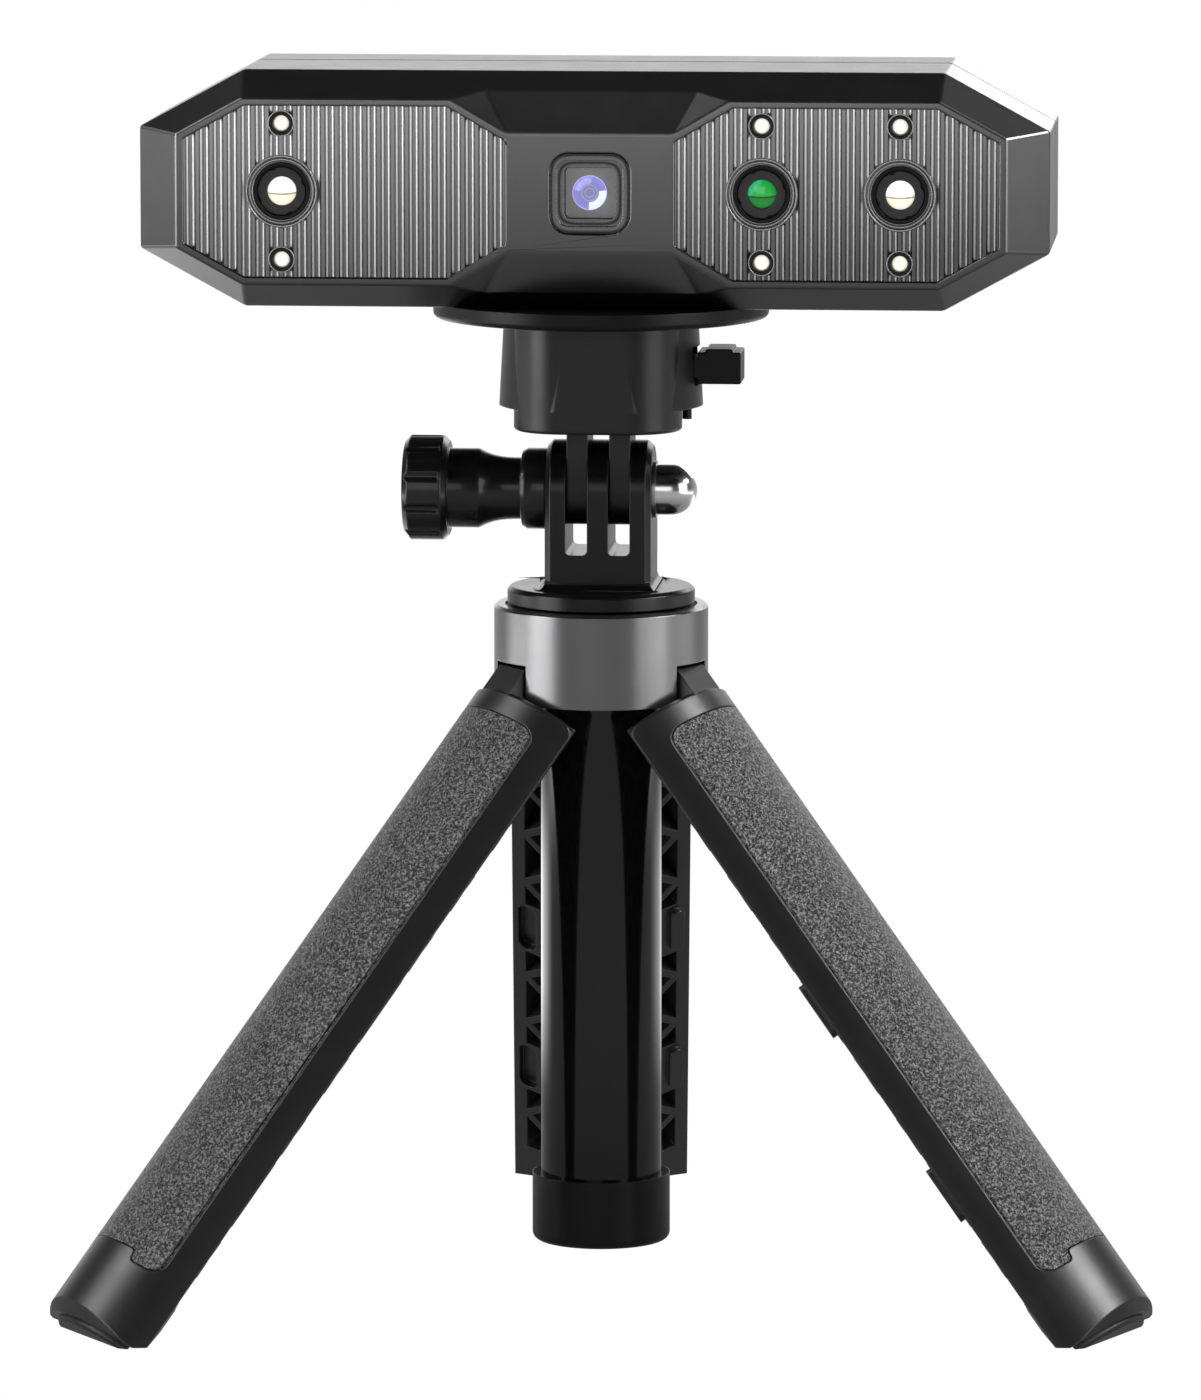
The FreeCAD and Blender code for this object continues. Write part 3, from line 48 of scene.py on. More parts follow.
# The head, its socket and the fork are turned a little from square; points in their own frame come through
# headToWorld.
joints = {joint["name"]: joint for joint in frame["joints"]}
pivotHeight = joints["head_tilt"]["pos_m"][2] / mm
hingeHeight = joints["rear_leg_fold"]["pos_m"][2] / mm
tiltAxis = joints["head_tilt"]["axis"]
head = {"yaw": math.atan2(tiltAxis[1], tiltAxis[0]), "centreHeight": pivotHeight + 42.6, "frontFace": -19.3}
headCos, headSin = math.cos(head["yaw"]), math.sin(head["yaw"])
lensCentres = {"leftCamera": -42.2, "projector": 23.4, "rightCamera": 42.2}


def headToWorld(points):
    # turns head points about the tripod's axis and lifts them to the head's height;
    # millimetres in, metres out
    p = np.asarray(points, float)
    x = p[..., 0] * headCos - p[..., 1] * headSin
    y = p[..., 0] * headSin + p[..., 1] * headCos
    return np.stack([x, y, p[..., 2] + head["centreHeight"]], -1) * mm


# shader nodes by short names
def feed(tree, socket, value):
    # links a socket, or sets a number, a vector or a colour
    if isinstance(value, bpy.types.NodeSocket):
        tree.links.new(value, socket)
    elif isinstance(value, tuple) and socket.type == "RGBA":
        socket.default_value = (*value, 1.0)
    else:
        socket.default_value = value


def fill(tree, node, **values):
    # feeds a node's inputs by name, with an underscore for a space
    for label, value in values.items():
        feed(tree, node.inputs[label.replace("_", " ")], value)
    return node


def mathNode(tree, operation, first, second=None, clamp=False):
    node = tree.nodes.new("ShaderNodeMath")
    node.operation = operation
    node.use_clamp = clamp
    feed(tree, node.inputs[0], first)
    if second is not None:
        feed(tree, node.inputs[1], second)
    return node.outputs[0]


def times(tree, first, *others):
    for other in others:
        first = mathNode(tree, "MULTIPLY", first, other)
    return first


def plus(tree, first, *others):
    for other in others:
        first = mathNode(tree, "ADD", first, other)
    return first


def minus(tree, first, second):
    return mathNode(tree, "SUBTRACT", first, second)


def rangeNode(tree, value, low, high, toLow=0.0, toHigh=1.0):
    node = tree.nodes.new("ShaderNodeMapRange")
    fill(tree, node, Value=value, From_Min=low, From_Max=high, To_Min=toLow, To_Max=toHigh)
    return node.outputs["Result"]


def vectorNode(tree, operation, first, second):
    node = tree.nodes.new("ShaderNodeVectorMath")
    node.operation = operation
    feed(tree, node.inputs[0], first)
    feed(tree, node.inputs["Scale" if operation == "SCALE" else 1], second)
    return node.outputs["Value" if operation == "DOT_PRODUCT" else "Vector"]


def mixColour(tree, factor, first, second):
    node = tree.nodes.new("ShaderNodeMix")
    node.data_type = "RGBA"
    for index, value in ((0, factor), (6, first), (7, second)):
        feed(tree, node.inputs[index], value)
    return node.outputs[2]


def noiseNode(tree, vector, scale, detail=2.0, rough=0.5):
    node = tree.nodes.new("ShaderNodeTexNoise")
    return fill(tree, node, Vector=vector, Scale=scale, Detail=detail, Roughness=rough).outputs["Fac"]


def swing(tree, noise, amount):
    # noise about zero, with the given width
    return times(tree, minus(tree, noise, 0.5), amount)


noiseReach = (0.3, 0.7)  # where most of a noise's values lie


def noiseRange(tree, noise, low, high):
    return rangeNode(tree, noise, *noiseReach, low, high)


def objectPlace(tree):
    return tree.nodes.new("ShaderNodeTexCoord").outputs["Object"]


def splitVector(tree, vector):
    return fill(tree, tree.nodes.new("ShaderNodeSeparateXYZ"), Vector=vector).outputs


def bandMask(tree, value, low, high, soft):
    # one between the two limits, falling softly to nothing outside them
    rise = rangeNode(tree, value, low - soft, low + soft)
    fall = rangeNode(tree, value, high - soft, high + soft, 1.0, 0.0)
    return times(tree, rise, fall)


# shared effects, each built once as a node group
surfaceOutputs = [("Colour", "Color"), ("Roughness", "Float"), ("Normal", "Vector")]


def newGroup(name, inputs, outputs):
    group = bpy.data.node_groups.new(name, "ShaderNodeTree")
    for label, kind, value in inputs:
        socket = group.interface.new_socket(label, in_out="INPUT", socket_type="NodeSocket" + kind)
        socket.default_value = value
    for label, kind in outputs:
        group.interface.new_socket(label, in_out="OUTPUT", socket_type="NodeSocket" + kind)
    return group, group.nodes.new("NodeGroupInput").outputs, group.nodes.new("NodeGroupOutput")


def edgeRoll(group, radius, samples):
    # a normal that rolls over sharp edges
    node = group.nodes.new("ShaderNodeBevel")
    node.samples = samples
    return fill(group, node, Radius=radius).outputs[0]


grainScales = {"blotch": 55.0, "smudge": 210.0}


def makeSurfaceGrain(name, softEdges):
    # moulded or blasted surface: fine grain in the normal, soft blotches in colour and gloss
    inputs = [("Colour", "Color", (0.1, 0.1, 0.1, 1)), ("Mottle", "Float", 0.1),
              ("Grain Scale", "Float", 4000.0), ("Grain Depth", "Float", 0.00002),
              ("Gloss", "Float", 0.5), ("Gloss Spread", "Float", 0.1)]
    if softEdges:
        inputs.append(("Edge Radius", "Float", 0.0002))
    group, take, give = newGroup(name, inputs, surfaceOutputs)
    place = objectPlace(group)
    fine = noiseNode(group, place, take["Grain Scale"], detail=3.0, rough=0.6)
    blotch = noiseNode(group, place, grainScales["blotch"], detail=4.0, rough=0.6)
    smudge = noiseNode(group, place, grainScales["smudge"], detail=3.0, rough=0.55)
    broad = times(group, swing(group, blotch, take["Mottle"]), 2.0)
    factor = plus(group, broad, swing(group, fine, take["Mottle"]), 1.0)
    gloss = mathNode(group, "ADD", swing(group, smudge, take["Gloss Spread"]), take["Gloss"], clamp=True)
    bump = fill(group, group.nodes.new("ShaderNodeBump"), Height=fine, Distance=take["Grain Depth"])
    if softEdges:
        fill(group, bump, Normal=edgeRoll(group, take["Edge Radius"], 6))
    fill(group, give, Colour=vectorNode(group, "SCALE", take["Colour"], factor), Roughness=gloss,
         Normal=bump.outputs[0])
    return group


# turnRange: cosines of the turn at which the lightened edge (wear and painted highlight) starts and is full;
# breakRange: noise below and above it
edgeWearAndHighlight = {"turnRange": (0.995, 0.86), "breakRange": (0.34, 0.62)}


def makeEdgeWearAndHighlight():
    # lightens the colour where the surface turns sharply, partly wear and partly a painted highlight on the edges,
    # broken up so that the line is never even
    group, take, give = newGroup("edgeWearAndHighlight", [
        ("Colour", "Color", (0.1, 0.1, 0.1, 1)), ("Worn Colour", "Color", (0.4, 0.4, 0.4, 1)),
        ("Radius", "Float", 0.0003), ("Amount", "Float", 0.3), ("Breakup", "Float", 900.0),
    ], surfaceOutputs[:1])
    normal = group.nodes.new("ShaderNodeNewGeometry").outputs["Normal"]
    turn = vectorNode(group, "DOT_PRODUCT", edgeRoll(group, take["Radius"], 4), normal)
    edge = rangeNode(group, turn, *edgeWearAndHighlight["turnRange"])
    breakup = noiseNode(group, objectPlace(group), take["Breakup"], detail=4.0, rough=0.65)
    broken = rangeNode(group, breakup, *edgeWearAndHighlight["breakRange"])
    mask = times(group, edge, broken, take["Amount"])
    fill(group, give, Colour=mixColour(group, mask, take["Colour"], take["Worn Colour"]))
    return group


def makeBrushedLines():
    # drawn or turned metal: fine streaks, stretched by the Stretch vector
    group, take, give = newGroup("brushedLines", [
        ("Colour", "Color", (0.5, 0.5, 0.5, 1)), ("Stretch", "Vector", (1, 1, 1)),
        ("Line Scale", "Float", 3000.0), ("Line Depth", "Float", 0.000004), ("Gloss", "Float", 0.3),
        ("Gloss Spread", "Float", 0.15), ("Tint", "Float", 0.15),
    ], surfaceOutputs)
    stretched = vectorNode(group, "MULTIPLY", objectPlace(group), take["Stretch"])
    lines = noiseNode(group, stretched, take["Line Scale"], detail=3.0, rough=0.6)
    factor = plus(group, swing(group, lines, take["Tint"]), 1.0)
    gloss = mathNode(group, "ADD", swing(group, lines, take["Gloss Spread"]), take["Gloss"], clamp=True)
    bump = fill(group, group.nodes.new("ShaderNodeBump"), Height=lines, Distance=take["Line Depth"])
    fill(group, give, Colour=vectorNode(group, "SCALE", take["Colour"], factor), Roughness=gloss,
         Normal=bump.outputs[0])
    return group


leather = {"warpScale": 1500.0, "warpReach": 0.0004, "cellBlend": 0.35, "fineScale": 3600.0,
           "fibreScale": 2300.0, "speckRange": (0.465, 0.565), "creaseShadeRange": (0.3, 0.7, 0.45, 1.1),
           "fineGloss": 0.12}


def makeLeatherGrain():
    # pebbled skin: small cells with creases between them, darkened as painted shade, and pale fibres over about
    # half of it
    group, take, give = newGroup("leatherGrain", [
        ("Colour", "Color", (0.08, 0.08, 0.08, 1)), ("Speck Colour", "Color", (0.3, 0.3, 0.3, 1)),
        ("Cell Scale", "Float", 1800.0), ("Depth", "Float", 0.0001), ("Gloss", "Float", 0.6),
    ], surfaceOutputs)
    place = objectPlace(group)
    warp = noiseNode(group, place, leather["warpScale"])
    shifted = vectorNode(group, "ADD", place, vectorNode(group, "SCALE", (leather["warpReach"],) * 3, warp))
    cells = group.nodes.new("ShaderNodeTexVoronoi")
    cells.feature = "SMOOTH_F1"
    fill(group, cells, Vector=shifted, Scale=take["Cell Scale"], Smoothness=leather["cellBlend"])
    crown = rangeNode(group, cells.outputs["Distance"], 0.75, 0.1)
    fine = noiseNode(group, place, leather["fineScale"], detail=3.0, rough=0.7)
    height = plus(group, times(group, crown, 0.7), times(group, fine, 0.6))
    fibre = noiseNode(group, shifted, leather["fibreScale"], detail=4.0, rough=0.75)
    blend = plus(group, times(group, fibre, 0.6), times(group, fine, 0.4))
    speck = rangeNode(group, blend, *leather["speckRange"])
    colour = mixColour(group, speck, take["Colour"], take["Speck Colour"])
    # painted shade: the colour darkens in the low creases between the cells
    creaseShade = rangeNode(group, height, *leather["creaseShadeRange"])
    gloss = mathNode(group, "SUBTRACT", take["Gloss"], times(group, fine, leather["fineGloss"]), clamp=True)
    bump = fill(group, group.nodes.new("ShaderNodeBump"), Height=height, Distance=take["Depth"])
    fill(group, give, Colour=vectorNode(group, "SCALE", colour, creaseShade), Roughness=gloss,
         Normal=bump.outputs[0])
    return group


groups = {
    "surfaceGrain": makeSurfaceGrain("surfaceGrain", False), "softGrain": makeSurfaceGrain("softGrain", True),
    "edgeWearAndHighlight": makeEdgeWearAndHighlight(), "brushedLines": makeBrushedLines(), "leatherGrain": makeLeatherGrain(),
}


def placeGroup(tree, name, **values):
    node = tree.nodes.new("ShaderNodeGroup")
    node.node_tree = groups[name]
    return fill(tree, node, **values)


# materials; distances on the head's front face are in millimetres
def newMaterial(name):
    material = bpy.data.materials.new(name)
    material.use_nodes = True
    return material, material.node_tree, material.node_tree.nodes["Principled BSDF"]


def paintedShadeColour(tree, colour, low, high, lean=0.0):
    # painted shade: darkens a colour from the head's top (high) to its bottom (low), leaning sideways by the given
    # share, as light falling from above would
    axes = splitVector(tree, objectPlace(tree))
    middle, reach = head["centreHeight"] * mm, 14 * mm
    tilted = minus(tree, axes["Z"], times(tree, axes["X"], lean))
    factor = rangeNode(tree, tilted, middle - reach, middle + reach, low, high)
    return vectorNode(tree, "SCALE", colour, factor)


def dressSurface(tree, shader, effect, shade, wearAndHighlight, **values):
    # joins an effect's colour, gloss and normal to the shader, with painted shade and lightened edges (wear and a
    # painted highlight) if asked
    colour = effect.outputs["Colour"]
    if shade is not None:
        colour = paintedShadeColour(tree, colour, *shade)
    if wearAndHighlight is not None:
        colour = placeGroup(tree, "edgeWearAndHighlight", Colour=colour, Worn_Colour=wearAndHighlight).outputs["Colour"]
    fill(tree, shader, Base_Color=colour, Roughness=effect.outputs["Roughness"],
         Normal=effect.outputs["Normal"], **values)


def grainMaterial(name, colour, mottle=0.12, scale=4200.0, depth=0.00002, gloss=0.5, spread=0.1, wearAndHighlight=None,
                  metallic=0.0, specular=0.5, coat=0.0, soft=0.0, shade=None):
    material, tree, shader = newMaterial(name)
    edge = {"Edge_Radius": soft * mm} if soft else {}
    grain = placeGroup(tree, "softGrain" if soft else "surfaceGrain", Colour=colour, Mottle=mottle,
                       Grain_Scale=scale, Grain_Depth=depth, Gloss=gloss, Gloss_Spread=spread, **edge)
    dressSurface(tree, shader, grain, shade, wearAndHighlight, Metallic=metallic, Specular_IOR_Level=specular,
                 Coat_Weight=coat)
    return material


def brushedMaterial(name, colour, stretch, scale=2600.0, depth=0.000004, gloss=0.3, spread=0.15, tint=0.2,
                    metallic=1.0, shade=None):
    material, tree, shader = newMaterial(name)
    lines = placeGroup(tree, "brushedLines", Colour=colour, Stretch=stretch, Line_Scale=scale,
                       Line_Depth=depth, Gloss=gloss, Gloss_Spread=spread, Tint=tint)
    dressSurface(tree, shader, lines, shade, None, Metallic=metallic)
    return material


def leatherMaterial(name, colour, speck, scale, depth, gloss):
    material, tree, shader = newMaterial(name)
    grain = placeGroup(tree, "leatherGrain", Colour=colour, Speck_Colour=speck, Cell_Scale=scale,
                       Depth=depth, Gloss=gloss)
    dressSurface(tree, shader, grain, None, None, Specular_IOR_Level=0.4)
    return material


def glassMaterial(name, colour):
    material, tree, shader = newMaterial(name)
    smear = placeGroup(tree, "surfaceGrain", Colour=colour, Mottle=0.04, Grain_Scale=900.0, Grain_Depth=0.0,
                       Gloss=0.03, Gloss_Spread=0.03)
    fill(tree, shader, Base_Color=smear.outputs["Colour"], Roughness=smear.outputs["Roughness"],
         Transmission_Weight=1.0, IOR=1.5)
    return material


def localPlace(tree, x):
    # sideways and upward distance in millimetres from the axis of a lens at x on the head's front face
    centre = headToWorld([x, head["frontFace"], 0])
    axes = splitVector(tree, objectPlace(tree))
    side = mathNode(tree, "DIVIDE", minus(tree, axes["X"], float(centre[0])), mm * headCos)
    up = mathNode(tree, "DIVIDE", minus(tree, axes["Z"], float(centre[2])), mm)
    return side, up


# painted reflection on a lens: the line across it bows by the square of the side distance; its half width, the
# dimming and the painted highlight are in millimetres
frontLens = {"bow": 0.05, "lineWidth": (0.08, 0.17), "lineStrength": 0.9, "lineShade": 0.22,
             "dimRange": (-2.0, 0.0, 0.75, 0.0), "paintedHighlightLean": 1.2, "paintedHighlightRange": (1.2, 2.2),
             "hazeScale": 900.0, "hazeRange": (0.35, 0.7, 0.0, 0.1), "glossScale": 1400.0,
             "gloss": (0.08, 0.14), "coat": 0.3}


def frontLensMaterial(name, lens, bright, dim, paintedHighlight, glow, lineHeight):
    # coated front lens with a painted reflection: pale above a thin curved line across it, dimmer below, a painted
    # highlight towards its upper left, and a glow that is painted light
    material, tree, shader = newMaterial(name)
    place = objectPlace(tree)
    side, up = localPlace(tree, lensCentres[lens])
    height = minus(tree, minus(tree, up, times(tree, side, side, frontLens["bow"])), lineHeight)
    lineInner, lineOuter = frontLens["lineWidth"]
    above = rangeNode(tree, height, -lineInner, lineInner)
    colour = mixColour(tree, above, dim, bright)
    colour = mixColour(tree, rangeNode(tree, up, *frontLens["dimRange"]), colour, dim)
    offLine = mathNode(tree, "ABSOLUTE", height)
    line = rangeNode(tree, offLine, lineInner, lineOuter, frontLens["lineStrength"], 0.0)
    colour = mixColour(tree, line, colour, tuple(frontLens["lineShade"] * part for part in dim))
    corner = minus(tree, up, times(tree, side, frontLens["paintedHighlightLean"]))
    shine = times(tree, rangeNode(tree, corner, *frontLens["paintedHighlightRange"]), above)
    colour = mixColour(tree, shine, colour, paintedHighlight)
    clouds = noiseNode(tree, place, frontLens["hazeScale"], detail=3.0, rough=0.6)
    haze = rangeNode(tree, clouds, *frontLens["hazeRange"])
    colour = mixColour(tree, haze, colour, dim)
    gloss = noiseRange(tree, noiseNode(tree, place, frontLens["glossScale"]), *frontLens["gloss"])
    fill(tree, shader, Base_Color=colour, Emission_Color=colour, Emission_Strength=glow, Roughness=gloss,
         Coat_Weight=frontLens["coat"])
    return material


# painted shade at the steps: dark bands as (from, to, softness) in millimetres from the middle
windowSteps = {"bands": [(4.0, 4.35, 0.12), (5.1, 5.5, 0.12)], "strength": 0.85, "gloss": (0.24, 0.30)}
ringSteps = {"bands": [(4.08, 4.17, 0.05), (4.53, 4.63, 0.05), (4.92, 5.05, 0.03)], "strength": 0.9,
             "gloss": (0.22, 0.28)}


def windowReach(tree):
    # distance on a rounded square: the fifth root of the sum of the two distances' fifth powers
    lengths = [mathNode(tree, "ABSOLUTE", part) for part in localPlace(tree, 0.0)]
    powers = [mathNode(tree, "POWER", length, 5.0) for length in lengths]
    return mathNode(tree, "POWER", plus(tree, *powers), 0.2)


def ringReach(tree):
    # distance from the nearest lens axis
    nearest = None
    for x in lensCentres.values():
        side, up = localPlace(tree, x)
        square = times(tree, side, side)
        nearest = square if nearest is None else mathNode(tree, "MINIMUM", nearest, square)
    return mathNode(tree, "SQRT", plus(tree, nearest, times(tree, up, up)))


def steppedMaterial(name, colour, grooveShade, look, measureReach):
    # satin metal with painted shade in dark bands at its steps, following the measured reach
    material, tree, shader = newMaterial(name)
    reach = measureReach(tree)
    steps = plus(tree, *[bandMask(tree, reach, *band) for band in look["bands"]])
    hazeScale, hazeAmount = 5000.0, 0.12
    haze = noiseRange(tree, noiseNode(tree, objectPlace(tree), hazeScale), 0.0, hazeAmount)
    shade = mixColour(tree, haze, colour, grooveShade)
    shade = mixColour(tree, times(tree, steps, look["strength"]), shade, grooveShade)
    gloss = rangeNode(tree, haze, 0.0, hazeAmount, *look["gloss"])
    fill(tree, shader, Base_Color=shade, Roughness=gloss, Metallic=0.95)
    return material


# the pane's violet lens, drawn on the pane; its bright sectors are painted reflections and its light rings painted
# highlights: radii in millimetres, turns in radians; a sector's streak is a range for the noise
pane = {
    "glass": ((0.13, 0.13, 0.135), (0.19, 0.19, 0.195)), "lens": ((0.17, 0.17, 0.33), (0.20, 0.19, 0.55)),
    "lensFade": (0.8, 2.3), "lensRim": (2.34, 2.42), "glow": (0.35, 0.75), "gloss": (0.16, 0.24), "coat": 0.3,
    "sectors": [
        {"turn": (-1.62, 0.15, 0.05), "reach": (1.3, 2.3, 0.08), "streak": (0.3, 0.6, 0.6, 1.0),
         "colour": (0.72, 0.78, 1.0)},
        {"turn": (1.45, 2.95, 0.08), "reach": (1.25, 2.1, 0.15), "streak": (0.35, 0.6, 0.3, 0.8),
         "colour": (0.42, 0.40, 0.88)},
    ],
    "hazeScale": 500.0, "streakScale": 2600.0,
    "ringColour": (0.62, 0.64, 0.85), "ringHalf": 0.03, "ringSoft": 0.04,
    "rings": {0.62: 0.35, 1.08: 0.4, 2.31: 0.75},
}


def paneMaterial(name):
    # satin grey pane over the centre camera: a violet lens disc drawn on it, with two bright sectors of painted
    # reflection, fine rings of painted highlight and a glow that is painted light
    material, tree, shader = newMaterial(name)
    place = objectPlace(tree)
    side, up = localPlace(tree, 0.0)
    radius = mathNode(tree, "SQRT", plus(tree, times(tree, side, side), times(tree, up, up)))
    turn = mathNode(tree, "ARCTAN2", up, side)
    haze = noiseNode(tree, place, pane["hazeScale"], detail=3.0, rough=0.6)
    streak = noiseNode(tree, place, pane["streakScale"], detail=3.0, rough=0.6)
    glass = mixColour(tree, haze, *pane["glass"])
    lens = mixColour(tree, rangeNode(tree, radius, *pane["lensFade"]), *pane["lens"])
    for sector in pane["sectors"]:
        mask = times(tree, bandMask(tree, turn, *sector["turn"]), bandMask(tree, radius, *sector["reach"]),
                     rangeNode(tree, streak, *sector["streak"]))
        lens = mixColour(tree, mask, lens, sector["colour"])
    for ringRadius, strength in pane["rings"].items():
        ringLine = bandMask(tree, radius, ringRadius - pane["ringHalf"], ringRadius + pane["ringHalf"],
                            pane["ringSoft"])
        lens = mixColour(tree, times(tree, ringLine, strength), lens, pane["ringColour"])
    disc = rangeNode(tree, radius, *pane["lensRim"], 1.0, 0.0)
    colour = mixColour(tree, disc, glass, lens)
    fill(tree, shader, Base_Color=colour, Emission_Color=colour, Coat_Weight=pane["coat"],
         Emission_Strength=rangeNode(tree, disc, 0.0, 1.0, *pane["glow"]),
         Roughness=noiseRange(tree, haze, *pane["gloss"]))
    return material


def turnedAway(tree, noise, look):
    # grows where the surface turns away from the eye, broken up a little by noise
    facing = fill(tree, tree.nodes.new("ShaderNodeLayerWeight"), Blend=look["blend"]).outputs["Facing"]
    return rangeNode(tree, plus(tree, facing, times(tree, noise, look["noiseShare"])), *look["edge"])


lampDome = {"pale": (0.86, 0.86, 0.72), "shade": (0.16, 0.17, 0.09), "blend": 0.45, "noiseShare": 0.3,
            "edge": (0.5, 0.95), "glow": 0.85, "coat": 0.4, "gloss": (0.06, 0.14), "scale": 1300.0}


def lampMaterial(name):
    # clear dome over a chip: pale middle glowing as painted light, and painted shade in olive where the dome turns
    # away
    material, tree, shader = newMaterial(name)
    blotch = noiseNode(tree, objectPlace(tree), lampDome["scale"])
    colour = mixColour(tree, turnedAway(tree, blotch, lampDome), lampDome["pale"], lampDome["shade"])
    fill(tree, shader, Base_Color=colour, Emission_Color=colour, Emission_Strength=lampDome["glow"],
         Coat_Weight=lampDome["coat"], Roughness=noiseRange(tree, blotch, *lampDome["gloss"]))
    return material


innerLens = {"middle": (0.10, 0.08, 0.30), "rim": (0.02, 0.02, 0.05), "blend": 0.3, "noiseShare": 0.2,
             "edge": (0.1, 0.5), "metallic": 0.3, "coat": 1.0, "gloss": (0.04, 0.08), "rimScale": 700.0,
             "glossScale": 1500.0}


def innerLensMaterial(name):
    # coated lens behind the window: violet in the middle, darker round its rim
    material, tree, shader = newMaterial(name)
    place = objectPlace(tree)
    rim = turnedAway(tree, noiseNode(tree, place, innerLens["rimScale"]), innerLens)
    fill(tree, shader, Base_Color=mixColour(tree, rim, innerLens["middle"], innerLens["rim"]),
         Metallic=innerLens["metallic"], Coat_Weight=innerLens["coat"],
         Roughness=noiseRange(tree, noiseNode(tree, place, innerLens["glossScale"]), *innerLens["gloss"]))
    return material


def grey(level, blue=0.0):
    return (level, level, level + blue)


# looks that materials take as a whole, and values that several take
# the shell's shade is painted shade, darker towards the head's bottom
shellLook = {"mottle": 0.1, "scale": 5200.0, "depth": 0.000008, "gloss": 0.31, "spread": 0.08,
             "wearAndHighlight": grey(0.3, 0.005), "metallic": 0.98, "shade": (0.55, 1.2)}
# the front lenses' bright and dim colours are a painted reflection, the highlight colour a painted highlight and
# the glow painted light
whiteLens = {"bright": (1.0, 0.99, 0.97), "dim": (0.84, 0.78, 0.60), "paintedHighlight": grey(1.0), "glow": 0.7,
             "lineHeight": -0.42}
greenLens = {"bright": (0.018, 0.45, 0.065), "dim": (0.008, 0.24, 0.03), "paintedHighlight": (0.06, 0.66, 0.28),
             "glow": 0.25, "lineHeight": -0.45}
blackWearAndHighlight = grey(0.04, 0.002)
turned, drawn = (1, 1, 0.05), (0.05, 1, 1)  # streaks that run upright and sideways

